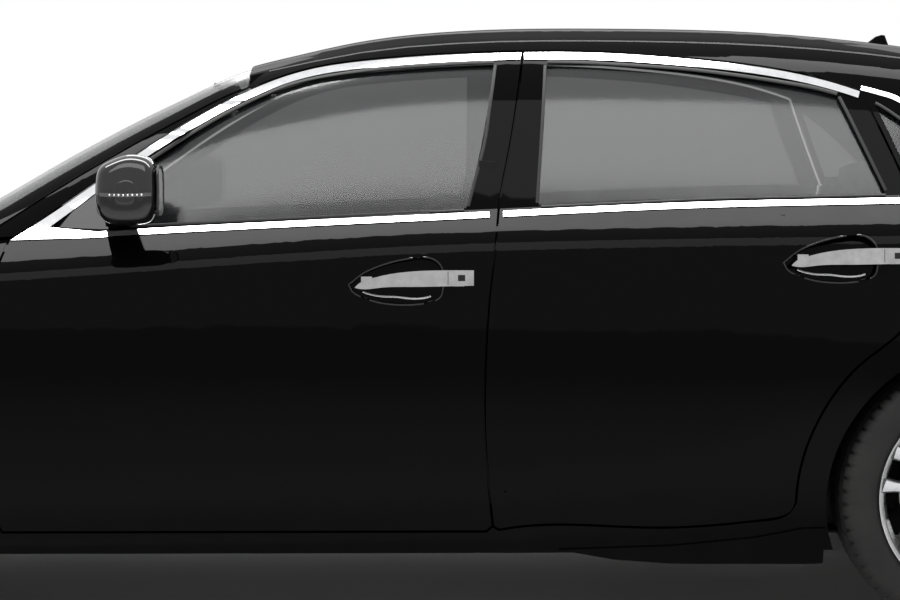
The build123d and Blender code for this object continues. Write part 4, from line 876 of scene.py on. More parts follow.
# %% door mirrors
def mirror_parts(hand, side):
    node, body = [f"mirror_{hand}"], f"front_door_{hand}"
    mid_z = 1.082
    rows = []
    for t in spread(0.0, 1.0, 14):
        y = side * (0.863 + 0.118 * t)
        half = 0.058 * (1 - abs(2 * t - 1) ** 4.5 * 0.35)
        row = []
        for z in spread(mid_z - half, mid_z + half, 10):
            hit = touch(node, (-0.3, y, z), (-1, 0, 0))
            row.append((hit[0].x + 0.0012 if hit else -0.665, y, z))
        rows.append(row)
    flat = max(p[0] for row in rows for p in row)
    glass = [[(flat - 0.0022 * ((z - mid_z) / 0.06) ** 2, y, z) for _, y, z in row]
             for row in rows]
    Shape().grid(glass).make(f"mirror_glass_{hand}", body, SILVERED, thick=0.002)
    edge = [r[0] for r in glass] + glass[-1][1:]
    edge += [r[-1] for r in glass[-2::-1]] + glass[0][-2:0:-1]
    Shape().bar(edge, oval(0.005, 0.006, 8), (1, 0, 0), closed=True).make(
        f"mirror_glass_seal_{hand}", body, SEAL)
    line = [(-0.806 + 0.128 * t, 1.074 - 0.002 * math.sin(math.pi * t))
            for t in spread(0.0, 1.0, 12)]
    spots = draped(node, line, side)
    strip = Shape().bar([p for p, _ in spots], strip_section(0.0085, 0.0010),
                        [n for _, n in spots])
    strip.make(f"turn_lamp_{hand}", body, SMOKE)
    facets = Shape()
    for p, n in spots[3:-2]:
        facets.turned(p + n * 0.0006, [(0.0, 0.0009), (0.0016, 0.0008), (0.0025, 0.0002)], 8, n)
    facets.make(f"turn_lamp_facets_{hand}", body, CHROME)


both_sides(mirror_parts)
print("door trim and mirrors")

# %% [markdown]
# Headlamps: the solid model's cover is clear here, so what sits inside shows: a dark bowl,
# two lens units with bright bezels, and a light guide that follows the lower edge.

# %% headlamps
def lamp_front(node, y, z, back):
    """A spot inside a lamp cover, a given depth behind its face."""
    names = [node, "front_bumper", "fenders", "hood", "body_sides"]
    for inward in range(12):
        hit = from_front(names, y * (1 - 0.006 * inward), z)
        if hit and hit[0].x < -1.9:
            return Vector((hit[0].x + back, y, z))
    return Vector((-2.16, y, z))


def headlamp_parts(hand, side):
    node, body = "headlamps", "car_body"
    rows = []
    for i, y in enumerate(spread(0.476, 0.821, 16)):
        low, high = 0.660 + 0.030 * max(0, (i - 6) / 10), 0.704 + 0.028 * min(1, i / 8)
        rows.append([lamp_front(node, side * y, z, 0.046) for z in spread(low, high, 4)])
    Shape().grid(rows).make(f"lamp_bowl_{hand}", body, BLACK_GLOSS, thick=0.002)
    units, lens = Shape(), Shape()
    for y, z, r in ((0.560, 0.690, 0.021), (0.640, 0.696, 0.021), (0.715, 0.703, 0.017)):
        p = lamp_front(node, side * y, z, 0.024)
        units.turned(p, [(r, -0.004), (r + 0.003, -0.006), (r + 0.006, 0.002), (r + 0.004, 0.020),
                         (r - 0.001, 0.020), (r, -0.004)], 40, (1, 0, 0))
        lens.turned(p, [(0.0, -0.011), (r * 0.5, -0.009), (r * 0.85, -0.003), (r, 0.006),
                        (r, 0.018), (0.0, 0.018)], 40, (1, 0, 0))
    units.make(f"lamp_bezels_{hand}", body, CHROME)
    lens.make(f"lamp_lenses_{hand}", body, WHITE_LENS)
    guide = []
    for t in spread(0.0, 1.0, 14):
        y, z = 0.480 + 0.335 * t, 0.665 + 0.042 * max(0, t - 0.3) / 0.7
        guide.append(lamp_front(node, side * y, z, 0.012))
    Shape().bar(flow(guide), oval(0.006, 0.007, 8), (1, 0, 0)).make(
        f"light_guide_{hand}", body, WHITE_LENS)


both_sides(headlamp_parts)

# %% [markdown]
# The grille is a bright frame round black bars. Behind the bars a fine mesh keeps leaves out;
# it is made from thin slanted bars, far enough back to stay in shade.

# %% grille mesh and front plate
NOSE = -2.475        # x of the foremost point of the grille


def bowed(y, depth):
    """x of a sheet that stands depth behind the grille and bows with it."""
    return NOSE + depth + 0.040 * (y / 0.42) ** 2


def mesh_behind(name, y_max, z0, z1, pitch, depth):
    s = Shape()
    high = z1 - z0
    for way in (-1, 1):
        y = -y_max - high
        while y < y_max + high:
            pts = [(bowed(y + way * up, depth), y + way * up, z0 + up)
                   for up in spread(0.0, high, 8) if abs(y + way * up) < y_max]
            if len(pts) > 1:
                s.bar(pts, oval(0.0035, 0.006, 4), (1, 0, 0))
            y += pitch
    s.make(name, "car_body", TRIM_BLACK)


mesh_behind("grille_mesh", 0.400, 0.320, 0.590, 0.022, 0.075)
mesh_behind("intake_mesh", 0.545, 0.206, 0.256, 0.020, 0.095)
backing = Shape()
backing.grid([[(bowed(y, 0.11), y, z) for z in (0.19, 0.27, 0.31, 0.60)]
              for y in spread(-0.55, 0.55, 16)])
backing.make("intake_shutter", "car_body", TRIM_BLACK, thick=0.004)


def plate(name, body, centre_z, x, facing):
    """Blank pressed number plate with a raised rim, on a black holder."""
    w, h = 0.260, 0.055              # half its width and half its height
    outline = [(y * w, z * h) for y, z in ((-0.985, -1), (0.985, -1), (1, -0.93), (1, 0.93),
                                           (0.985, 1), (-0.985, 1), (-1, 0.93), (-1, -0.93))]
    holder = Shape().slab([(x, y * 1.012, centre_z + z * 1.05) for y, z in outline], (0, 0, 0),
                          (-facing * 0.010, 0, 0))
    holder.make(f"{name}_holder", body, TRIM_BLACK, bevel=0.001)
    rows = []
    for k, lift in ((1.0, 0.0), (0.992, 0.0022), (0.980, 0.0022), (0.972, 0.0008)):
        rows.append([(x + facing * (0.0006 + lift), y * k, centre_z + z * (1 - (1 - k) * w / h))
                     for y, z in outline])
    s = Shape().grid(rows, across=True)
    s.f.append(tuple(range(len(rows) * 8 - 8, len(rows) * 8)))
    s.make(name, body, PLATE_WHITE)


PLATE_Z = 0.394
face = from_front(["grille", "front_bumper"], 0.0, PLATE_Z)[0].x
plate("front_plate", "car_body", PLATE_Z, face - 0.003, -1)

# %% [markdown]
# Fog lamps sit in the slanted bays of the front bumper, each in a bright-edged pod; round
# parking sensors dot both bumpers, and a lip runs under the front one.

# %% front bumper details
def bumper_disc(name, node, y, z, r, facing, finish, lift=0.0015):
    """A small round sensor, flush with a bumper."""
    (spot, normal), = draped([node], [(y, z)], facing, "x")
    s = Shape().turned(spot, [(0.0, lift), (r * 0.8, lift), (r, lift * 0.3), (r, -0.004),
                              (0.0, -0.004)], 28, normal)
    s.make(name, "car_body", finish)


def front_details(hand, side):
    for i, (y, z) in enumerate(((0.500, 0.520), (0.800, 0.500))):
        bumper_disc(f"parking_sensor_front_{i}_{hand}", "front_bumper", side * y, z, 0.0095, -1,
                    PAINT)
    spot, normal, _ = from_front(["front_bumper"], side * 0.700, 0.345)
    out = (normal + Vector((-2.0, 0, 0))).normalized()
    pod = Shape().turned(spot, [(0.031, 0.006), (0.034, 0.010), (0.037, 0.006), (0.038, -0.006),
                                (0.030, -0.006), (0.031, 0.006)], 40, out)
    pod.make(f"fog_lamp_bezel_{hand}", "car_body", CHROME)
    glass = Shape().turned(spot, [(0.0, 0.007), (0.018, 0.006), (0.030, 0.003), (0.031, -0.004),
                                  (0.0, -0.004)], 40, out)
    glass.make(f"fog_lamp_{hand}", "car_body", WHITE_LENS)
    blade = [(-0.602, 0.296), (-0.634, 0.380), (-0.700, 0.394), (-0.758, 0.404)]
    lay_strip(f"fog_bay_strip_{hand}", ["front_bumper"], [(side * -y, z) for y, z in blade],
              0.007, 0.005, "car_body", CHROME, -1, "x", 0.01)
    edge = draped(["front_bumper"], [(side * y, 0.176) for y in spread(0.02, 0.84, 21)], -1, "x")
    lip = [spot + Vector((-0.001, 0, 0)) for spot, _ in edge]
    Shape().bar(lip, [(-0.012, -0.006), (0.010, -0.004), (0.011, 0.003), (-0.010, 0.004)],
                (0, 0, 1)).make(f"bumper_lip_{hand}", "car_body", TRIM_BLACK, bevel=0.001)


both_sides(front_details)

# %% [markdown]
# The tail: rear plate in its bay under a bright bar, ribbed lamps with a clear reversing
# section, reflectors low in the bumper, a black diffuser with fins and bright pipe ends.

# %% rear details
bay = from_behind(["boot_lid"], 0.0, 0.870)[0].x
plate("rear_plate", "boot_lid", 0.877, bay + 0.0105, 1)
bar_line = [(y, 0.957 + 0.004 * (1 - (y / 0.33) ** 2)) for y in spread(-0.33, 0.33, 12)]
lay_strip("boot_garnish", ["boot_lid"], bar_line, 0.020, 0.006, "boot_lid", CHROME, 1, "x")


def rear_details(hand, side):
    lamp = ["tail_lamps"]
    for i, z in enumerate((0.815, 0.838, 0.861, 0.884, 0.907)):
        line = [(side * (0.672 + 0.20 * t), z + 0.003 * t) for t in spread(0.0, 1.0, 9)]
        spots = draped(lamp, line, 1, "x")
        if len(spots) < 3:
            continue
        finish = WHITE_LENS if i == 2 else RED_LENS
        s = Shape().bar([p for p, _ in spots], strip_section(0.011 if i == 2 else 0.006, 0.0022),
                        [n for _, n in spots])
        s.make(f"lamp_rib_{i}_{hand}", "car_body", finish)
    side_line = [(2.20, 0.868), (2.28, 0.868), (2.36, 0.870), (2.42, 0.871)]
    lay_strip(f"side_guide_{hand}", lamp, side_line, 0.012, 0.002, "car_body", RED_LENS, side)
    for i, (y, z) in enumerate(((0.330, 0.520), (0.720, 0.500))):
        bumper_disc(f"parking_sensor_rear_{i}_{hand}", "rear_bumper", side * y, z, 0.0095, 1,
                    PAINT)
    line = [(side * y, 0.400) for y in spread(0.640, 0.800, 8)]
    spots = draped(["rear_bumper"], line, 1, "x")
    Shape().bar([p for p, _ in spots], strip_section(0.026, 0.003), [n for _, n in spots]).make(
        f"rear_reflector_{hand}", "car_body", RED_LENS)
    at = Vector((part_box("exhaust")[1].x, side * 0.480, 0.268))
    tip = Shape().turned(at, [(0.0385, -0.120), (0.0385, -0.002), (0.0405, 0.0015),
                              (0.0430, 0.0005), (0.0440, -0.004), (0.0435, -0.120),
                              (0.0385, -0.120)], 48, (1, 0, 0))
    tip.make(f"exhaust_finisher_{hand}", "car_body", CHROME)


both_sides(rear_details)
rows = []
for y in spread(-0.385, 0.385, 24):
    x = from_behind(["rear_bumper"], y, 0.290)[0].x
    rows.append([(x - 0.030, y, 0.226), (x + 0.003, y, 0.240), (x + 0.004, y, 0.262),
                 (x + 0.0025, y, 0.330 - 0.02 * (y / 0.385) ** 4)])
Shape().grid(rows).make("diffuser_panel", "car_body", TRIM_BLACK, thick=0.003)
fins = Shape()
for y in spread(-0.26, 0.26, 4):
    x = from_behind(["rear_bumper"], y, 0.290)[0].x
    fins.slab([(x - 0.09, y - 0.003, 0.222), (x + 0.010, y - 0.003, 0.232),
               (x + 0.008, y - 0.003, 0.300), (x - 0.02, y - 0.003, 0.300)], (0, 0, 0),
              (0, 0.006, 0))
fins.make("diffuser_fins", "car_body", TRIM_BLACK, bevel=0.001)

# %% [markdown]
# Rubber and bright mouldings on the roof and screens: a thin strip in each roof joint, black
# borders printed along the edges of the windscreen and the rear window, and the wipers.

# %% roof strips, screen borders and wipers
def roof_strip(hand, side):
    line = [(x, side * 0.5) for x in spread(-0.43, 1.19, 14)]
    spots = draped(["roof_panel", "body_sides"], line, way="z")
    s = Shape().bar([p + Vector((0, 0, 0.0002)) for p, _ in spots], strip_section(0.009, 0.0015),
                    [n for _, n in spots])
    s.make(f"roof_joint_strip_{hand}", "car_body", SEAL)


both_sides(roof_strip)


UNDER_GLASS, OVER_SKIN = -0.0068, 0.0028      # a band's height from the outer surface


def glass_border(name, line, width, lift=UNDER_GLASS, finish=BLACK_GLOSS,
                 shares=(0.0, 0.5, 1.0)):
    """Band along a screen's edge: printed just under the glass, or a moulding just over it."""
    rows = []
    pts = flow([(x, y, 0) for x, y in line], 0.04)
    for i, p in enumerate(pts):
        a, b = pts[max(i - 1, 0)], pts[min(i + 1, len(pts) - 1)]
        inward = Vector((a.y - b.y, b.x - a.x, 0)).normalized()
        row = []
        for w in shares:
            q = p + inward * width * w
            names = ["fixed_glass", "body_sides"] if lift > 0 else ["fixed_glass"]
            hit = from_above(names, q.x, q.y)
            row.append(hit[0] + hit[1] * lift if hit and hit[0].z > 0.9 else None)
        if all(row):
            rows.append(row)
    Shape().grid(rows).make(name, "car_body", finish, thick=0.0008)


for hand, side in HANDS:
    screen = [(-1.380, side * 0.685), (-1.250, side * 0.735), (-1.120, side * 0.722),
              (-0.900, side * 0.667), (-0.700, side * 0.617), (-0.492, side * 0.564)]
    back = [(1.252, side * 0.571), (1.500, side * 0.633), (1.700, side * 0.673)]
    glass_border(f"screen_border_{hand}", screen if side < 0 else screen[::-1], 0.030)
    glass_border(f"rear_border_{hand}", back if side < 0 else back[::-1], 0.030)
    cover = [(-1.320, side * 0.706)] + screen[1:5] + [(-0.496, side * 0.5650)]
    glass_border(f"front_pillar_cover_{hand}", cover if side < 0 else cover[::-1], 0.052,
                 OVER_SKIN, PAINT, (-0.12, 0.0, 0.3, 0.6, 0.9, 1.0))
    cover = [(1.262, side * 0.572), (1.500, side * 0.631), (1.690, side * 0.665)]
    glass_border(f"rear_pillar_cover_{hand}", cover if side < 0 else cover[::-1], 0.040,
                 OVER_SKIN, PAINT, (-0.05, 0.0, 0.3, 0.6, 0.9, 1.0))
glass_border("screen_border_top", [(-0.492, y) for y in (-0.55, -0.3, 0.0, 0.3, 0.55)], 0.050)
glass_border("rear_border_top", [(1.252, y) for y in (0.55, 0.3, 0.0, -0.3, -0.55)], 0.040)


def wiper(name, pivot, tip_a, tip_b):
    """Arm from its pivot to the middle of a blade that lies on the screen."""
    line = zip(spread(tip_a[0], tip_b[0], 12), spread(tip_a[1], tip_b[1], 12))
    blade = [(p + n * 0.010, n) for p, n in draped(["fixed_glass"], line, way="z")]
    rubber = Shape().bar([p - n * 0.0055 for p, n in blade], oval(0.004, 0.010, 6),
                         [n for _, n in blade])
    rubber.make(f"{name}_rubber", "car_body", SEAL)
    spine = Shape().bar([p for p, _ in blade], lambda t: oval(0.013 - 0.006 * abs(2 * t - 1),
                        0.007 - 0.002 * abs(2 * t - 1), 8), [n for _, n in blade])
    mid, up = blade[len(blade) // 2]
    arm = [Vector(pivot), Vector(pivot).lerp(mid, 0.25) + Vector((0, 0, 0.014)),
           Vector(pivot).lerp(mid, 0.7) + up * 0.014, mid + up * 0.004]
    spine.bar(flow(arm), lambda t: oval(0.020 - 0.010 * t, 0.010 - 0.004 * t, 8), up)
    spine.turned(pivot, [(0.0, 0.016), (0.012, 0.014), (0.015, 0.006), (0.015, -0.030),
                         (0.0, -0.030)], 20, (0, 0, 1))
    spine.make(f"{name}_arm", "car_body", TRIM_BLACK, bevel=0.0008)


wiper("wiper_left", (-1.382, -0.520, 0.958), (-1.352, -0.560), (-1.330, 0.060))
wiper("wiper_right", (-1.380, 0.100, 0.960), (-1.356, 0.120), (-1.318, 0.600))


def pillar_foot(hand, side):
    """Skin from the edge of the rear window down to the deck, at the foot of the rear pillar."""
    rows = []
    for x in spread(1.386, 1.714, 30):
        edge = None
        for y in spread(0.590, 0.6785, 59):
            hit = from_above(["fixed_glass"], x, side * y)
            edge = (y - 0.002, hit[0].z - 0.0015) if hit and hit[0].z > 1.0 else edge
        if edge is None:
            continue
        foot = (0.701 + 0.013 * max(0.0, 1 - (x - 1.386) / 0.10), 1.0860)
        bow = (edge[0] + (foot[0] - edge[0]) * 0.62, edge[1] + (foot[1] - edge[1]) * 0.36)
        row = []
        for t in spread(0.0, 1.0, 12):
            y = (1 - t) ** 2 * edge[0] + 2 * t * (1 - t) * bow[0] + t * t * foot[0]
            z = (1 - t) ** 2 * edge[1] + 2 * t * (1 - t) * bow[1] + t * t * foot[1]
            row.append((x, side * y, z))
        row.append((x, side * (foot[0] + 0.001), foot[1] - 0.012))
        rows.append(row)
    Shape().grid(rows).make(f"pillar_foot_{hand}", "car_body", PAINT, thick=0.002)
    channel = [[(x, side * y, z) for y in spread(0.0, 0.690, 24)]
               for x, z in ((1.795, 1.042), (1.805, 1.030), (1.8051, 1.030), (1.870, 1.030),
                            (1.8701, 1.042), (1.880, 1.042))]
    Shape().grid(channel).make(f"boot_drain_channel_{hand}", "car_body", TRIM_BLACK, thick=0.002)


both_sides(pillar_foot)
print("front, rear, roof and screen details")

# %% [markdown]
# Car seats are moulded foam with a leather cover pulled tight over it, so each pad is drawn as
# a crowned form of its own: the middle panel is sunk between firmer bolsters, channels cross
# it where the cover is sewn down, and a raised seam follows each bolster.

# %% padded seats
def pad(name, body, finish, centre, size, lean, channels=0, bolster=0.0, crown=0.012,
        across=1, power=5.0, taper=0.0):
    """A crowned pad lying in its own u (width), v (length) and w (thickness) directions.

    lean turns v from straight back (0) to straight up (90). Channels are sewn lines across it.
    """
    u_dir, t = Vector((0, 1, 0)), math.radians(lean)
    v_dir = Vector((math.cos(t), 0, math.sin(t)))
    w_dir = Vector((-math.sin(t), 0, math.cos(t)))
    w, length, thick = size
    nu, nv = 40, 44
    top, low = [], []
    for v in spread(-1, 1, nv):
        row_t, row_l = [], []
        for u in spread(-1, 1, nu):
            edge = max(0.0, 1 - abs(v) ** power) ** (1 / power)
            round_u = max(0.0, 1 - abs(u) ** power) ** (1 / power)
            pull = (1 - 0.016 * (1 - abs(v)) * abs(u) ** 8) * (1 - taper * (v + 1) / 2)
            x_u = u * (0.90 + 0.10 * edge) * w / 2 * pull
            x_v = v * (0.93 + 0.07 * round_u) * length / 2
            high = (edge * round_u) ** 0.42
            lift = crown * (1 - u * u) * (1 - v * v)
            if bolster:
                seat_u = (abs(u) * across) % 1 if across > 1 else abs(u)
                rise = 1 / (1 + math.exp(-(seat_u - 0.66) * 22))
                lift += bolster * rise * (1 - max(0, abs(v) - 0.72) * 2.2)
                lift -= 0.006 * math.exp(-((seat_u - 0.64) / 0.022) ** 2)
            if channels and abs(u) < (0.62 if bolster else 0.96):
                k = (v + 0.86) / 1.72 * channels
                if 0 < k < channels:
                    lift -= 0.007 * math.exp(-(abs(k - round(k)) / 0.075) ** 2)
            lift += 0.0012 * noise.noise(Vector((u * 3, v * 3, centre[1] * 5)))
            at = Vector(centre) + u_dir * x_u + v_dir * x_v
            row_t.append(at + w_dir * (high * thick / 2 + lift * min(1, high * 1.2)))
            row_l.append(at - w_dir * (high * thick / 2))
        top.append(row_t)
        low.append(row_l)
    s = Shape().grid(top).grid([row[::-1] for row in low])
    around = lambda g: g[0] + [r[-1] for r in g[1:]] + g[-1][-2::-1] + [r[0] for r in g[-2:0:-1]]
    s.grid([around(top), around(low)], across=True)
    obj = s.make(name, body, finish, sub=1, sharp=80)
    return obj, top


def seam_lines(name, top, columns):
    """Raised sewn cords along a pad, on the given columns of its upper face."""
    for k, j in enumerate(columns):
        cord = Shape().bar([row[j] for row in top[4:-4]], oval(0.0045, 0.004, 6))
        cord.make(f"{name}_seam_{k}", "car_body", PIPING)


SEAT_PADS = []


def front_seat(hand, side):
    y, body = side * 0.370, "car_body"
    base, top = pad(f"seat_cushion_{hand}", body, LEATHER, (-0.268, y, 0.444),
                    (0.490, 0.480, 0.110), -3.5, channels=5, bolster=0.026, crown=0.010)
    seam_lines(f"seat_cushion_{hand}", top, (7, 33))
    back, top = pad(f"seat_back_{hand}", body, LEATHER, (0.069, y, 0.760), (0.485, 0.600, 0.092),
                    102.0, channels=6, crown=0.0, taper=0.10)
    face, top = pad(f"seat_back_face_{hand}", body, LEATHER, (0.050, y, 0.765),
                    (0.460, 0.560, 0.060), 102.0, channels=6, bolster=0.020, crown=0.004,
                    taper=0.10)
    seam_lines(f"seat_back_{hand}", top, (7, 33))
    head, _ = pad(f"headrest_{hand}", body, LEATHER, (0.204, y, 1.152), (0.250, 0.135, 0.082),
                  102.0, crown=0.012, power=3.2)
    SEAT_PADS.extend([base, back, face, head])
    runners = Shape()
    for at in (y - 0.17, y + 0.17):
        runners.box((-0.46, at - 0.022, 0.2300), (-0.04, at + 0.022, 0.252))
        runners.box((-0.45, at - 0.012, 0.252), (-0.06, at + 0.012, 0.330))
        runners.bar([(-0.44, at, 0.325), (-0.05, at, 0.340)], oval(0.03, 0.03, 8), (0, 1, 0))
    runners.box((-0.455, y - 0.20, 0.325), (-0.045, y + 0.20, 0.382))
    runners.box((-0.50, y - 0.225, 0.372), (-0.02, y + 0.225, 0.398))
    runners.make(f"seat_frame_{hand}", body, TRIM_BLACK, bevel=0.004)
    posts = Shape()
    for dy in (-0.07, 0.07):
        posts.tube([(0.158, y + dy, 1.000), (0.192, y + dy, 1.120)], 0.006)
    posts.make(f"headrest_posts_{hand}", body, CHROME)
    side_panel = Shape()
    for away in (-1, 1):
        rows = [[(x, y + away * (0.246 + 0.006 * k), z) for x, z in
                 ((-0.46, 0.36), (-0.20, 0.345), (-0.02, 0.37), (0.03, 0.44), (-0.02, 0.455),
                  (-0.24, 0.425), (-0.47, 0.425))] for k in (0, 1)]
        side_panel.grid(rows, across=True, caps=True)
    side_panel.make(f"seat_side_panel_{hand}", body, TRIM_BLACK, bevel=0.002)
    belt = [(0.118, side * 0.742, 1.150), (0.104, side * 0.705, 0.95), (0.090, side * 0.690, 0.62),
            (0.060, side * 0.690, 0.30)]
    Shape().bar(flow(belt), oval(0.046, 0.0022, 8), (0, 1, 0)).make(
        f"belt_webbing_{hand}", body, WEBBING)
    Shape().box((0.025, y - side * 0.262, 0.42), (0.055, y - side * 0.250, 0.53)).make(
        f"belt_buckle_{hand}", body, TRIM_BLACK, bevel=0.003)


def rear_bench():
    body = "car_body"
    seat, top = pad("rear_cushion", body, LEATHER, (0.776, 0.0, 0.478), (1.190, 0.420, 0.105), -5.0,
                    channels=4, bolster=0.012, crown=0.012)
    seam_lines("rear_cushion", top, (7, 20, 33))
    back, top = pad("rear_back", body, LEATHER, (1.060, 0.0, 0.762), (1.190, 0.545, 0.115), 116.0,
                    channels=5, bolster=0.010, crown=0.010)
    seam_lines("rear_back", top, (7, 14, 26, 33))
    SEAT_PADS.extend([seat, back])
    posts = Shape()
    for hand, side in HANDS:
        y = side * 0.330
        head, _ = pad(f"rear_headrest_{hand}", body, LEATHER, (1.205, y, 1.085),
                      (0.250, 0.105, 0.078), 108.0, crown=0.010, power=3.2)
        SEAT_PADS.append(head)
        for dy in (-0.07, 0.07):
            posts.tube([(1.176, y + dy, 0.975), (1.200, y + dy, 1.060)], 0.006)
    posts.make("rear_headrest_posts", body, CHROME)
    base = Shape().box((0.590, -0.575, 0.4205), (0.985, 0.575, 0.434))
    for y0, y1 in ((-0.575, -0.155), (0.155, 0.575)):
        base.box((0.600, y0, 0.230), (0.980, y1, 0.421))
    return base.make("rear_bench_base", body, CARPET, bevel=0.006)


both_sides(front_seat)
bench = rear_bench()
for soft in SEAT_PADS + [bench]:
    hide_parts("seats")
print("seats:", len(SEAT_PADS), "pads")

# %% [markdown]
# The cabin is lined: carpet over the floor and tunnel, a pale headliner under the roof, and a
# carpeted shelf behind the rear seat.

# %% linings
def lining(name, xs, ys, height, finish, thick):
    """A sheet whose height over each spot comes from a function."""
    rows = [[(x, y, height(x, y)) for y in ys] for x in xs]
    Shape().grid(rows).make(name, "car_body", finish, thick=thick, sharp=80)


def floor_height(x, y):
    hit = touch(["floor_pan"], (x, y, 0.62), (0, 0, -1))
    return (hit[0].z if hit else 0.229) + 0.004


def roof_inside(x, y):
    hit = touch(["roof_panel", "body_sides"], (x, y, 1.25), (0, 0, 1))
    return (hit[0].z if hit else 1.44) - 0.006


lining("cabin_carpet", spread(-1.140, 0.990, 40), spread(-0.700, 0.700, 60), floor_height, CARPET,
       0.006)
lining("headliner", spread(-0.470, 1.225, 34), spread(-0.488, 0.488, 24), roof_inside, HEADCLOTH,
       0.004)
shelf = Shape().box((1.262, -0.555, 1.0243), (1.780, 0.555, 1.0300))
shelf.make("parcel_shelf", "car_body", CARPET, bevel=0.002)
boot_mat = Shape().box((1.418, -0.600, 0.6043), (2.092, 0.600, 0.6120))
boot_mat.make("boot_carpet", "car_body", CARPET, bevel=0.003)
for hand, side in HANDS:
    speaker = Shape()
    for k in range(7):
        r = 0.012 + 0.011 * k
        speaker.turned((1.50, side * 0.36, 1.0305), [(r, 0), (r + 0.003, 0.002), (r + 0.006, 0),
                                                     (r, 0)], 36, (0, 0, 1))
    speaker.make(f"shelf_speaker_{hand}", "car_body", TRIM_BLACK)
lamp_panel = Shape().box((-0.42, -0.075, roof_inside(-0.35, 0) - 0.016),
                         (-0.28, 0.075, roof_inside(-0.35, 0) - 0.001))
lamp_panel.make("roof_lamp_console", "car_body", TRIM_BLACK, bevel=0.006)
glass_mirror = Shape().grid([[(-0.560 - 0.004 * abs(u), 0.125 * u, 1.302 + 0.034 * v)
                              for v in spread(-1, 1, 6)] for u in spread(-1, 1, 12)])
glass_mirror.make("inner_mirror", "car_body", SILVERED, thick=0.016, bevel=0.003)
stem = Shape().tube([(-0.566, 0.0, 1.318), (-0.600, 0.0, 1.348), (-0.612, 0.0, 1.352)], 0.007)
stem.make("inner_mirror_stem", "car_body", TRIM_BLACK)
for hand, side in HANDS:
    high = roof_inside(-0.44, 0.2) - 0.020
    visor = Shape().grid([[(-0.50 + 0.15 * a, side * y, high - 0.012 * (1 - a))
                           for y in spread(0.12, 0.46, 6)] for a in spread(0, 1, 4)])
    visor.make(f"sun_visor_{hand}", "car_body", HEADCLOTH, thick=0.012, bevel=0.003)

# %% [markdown]
# Each door has a moulded card: a stitched upper roll, an armrest with a pull, a pocket with a
# round speaker, and an inner handle. It follows the door's own inner face.

# %% door cards
def inner_face(end, hand, x, z, side):
    hit = touch([f"{end}_door_{hand}"], (x, 0.0, z), (0, side, 0))
    return abs(hit[0].y) if hit else 0.84


def door_card(end, hand, side, x0, x1, step_z):
    body = f"{end}_door_{hand}"
    xs, zs = spread(x0, x1, 26), spread(0.340, 0.975, 30)
    rows = []
    for x in xs:
        row = []
        for z in zs:
            zz = z + step_z * max(0, (z - 0.6) / 0.4) + 0.03 * (x - x0) * max(0, (z - 0.8) * 5)
            edge = min(1, (x - x0) / 0.05 + 0.15, (x1 - x) / 0.05 + 0.15)
            relief = 0.006
            relief += 0.010 / (1 + math.exp(-(z - 0.855) * 90))
            relief += 0.014 * math.exp(-((z - 0.420) / 0.055) ** 2)
            relief += 0.006 * math.exp(-((z - 0.74) / 0.045) ** 2)
            face = inner_face(end, hand, x, min(zz, 0.93), side)
            row.append((x, side * (face - 0.003 - relief * edge), zz))
        rows.append(row)
    Shape().grid(rows).make(f"door_card_{end}_{hand}", body, DASH, thick=0.004, sharp=80)
    mid_z = 0.640 + step_z * 0.3
    arm = []
    for t in spread(0.0, 1.0, 14):
        x = x0 + 0.12 + (x1 - x0 - 0.24) * t
        grow = 1 - abs(2 * t - 1) ** 4 * 0.55
        y = inner_face(end, hand, x, mid_z, side) - 0.004
        arm.append([(x, side * (y - u * 0.052 * grow), mid_z + 0.018 * t + w * 0.030 * grow)
                    for u, w in ((0, -1), (0.75, -0.9), (0.98, -0.45), (1, 0.3), (0.85, 0.85),
                                 (0.4, 1.0), (0, 1.0))])
    rest = Shape().grid(arm, across=True, caps=True)
    rest.make(f"armrest_{end}_{hand}", body, LEATHER, sharp=60)
    y = inner_face(end, hand, x0 + 0.20, 0.760, side) - 0.014
    latch = Shape()
    line = [(x0 + 0.14, side * y, 0.780 + step_z), (x0 + 0.18, side * (y - 0.014), 0.783 + step_z),
            (x0 + 0.25, side * (y - 0.010), 0.782 + step_z)]
    latch.bar(line, oval(0.018, 0.006, 8), (0, side, 0))
    latch.make(f"inner_handle_{end}_{hand}", body, SATIN)
    speaker = Shape()
    sx, sz = x0 + 0.16, 0.440
    sy = side * (inner_face(end, hand, sx, sz, side) - 0.026)
    for k in range(6):
        r = 0.010 + 0.011 * k
        speaker.turned((sx, sy, sz), [(r, 0.0), (r + 0.003, side * -0.002), (r + 0.006, 0.0),
                                      (r + 0.003, side * 0.004), (r, 0.0)], 32)
    speaker.make(f"door_speaker_{end}_{hand}", body, SATIN)
    switches = Shape()
    for i in range(3 if end == "front" else 1):
        x = x0 + 0.20 + 0.034 * i
        y = inner_face(end, hand, x, mid_z, side) - 0.004
        switches.box((x, min(side * (y - 0.015), side * (y - 0.038)), mid_z + 0.028),
                     (x + 0.022, max(side * (y - 0.015), side * (y - 0.038)), mid_z + 0.038))
    switches.make(f"window_switches_{end}_{hand}", body, BLACK_GLOSS, bevel=0.002)


for hand, side in HANDS:
    door_card("front", hand, side, -0.985, 0.045, 0.0)
    door_card("rear", hand, side, 0.235, 0.830, 0.035)

# %% [markdown]
# On the dash go a driver display, a wide centre screen, four vents with vanes, a stitched edge,
# the climate knobs; on the console the selector, a lid and two cup wells.

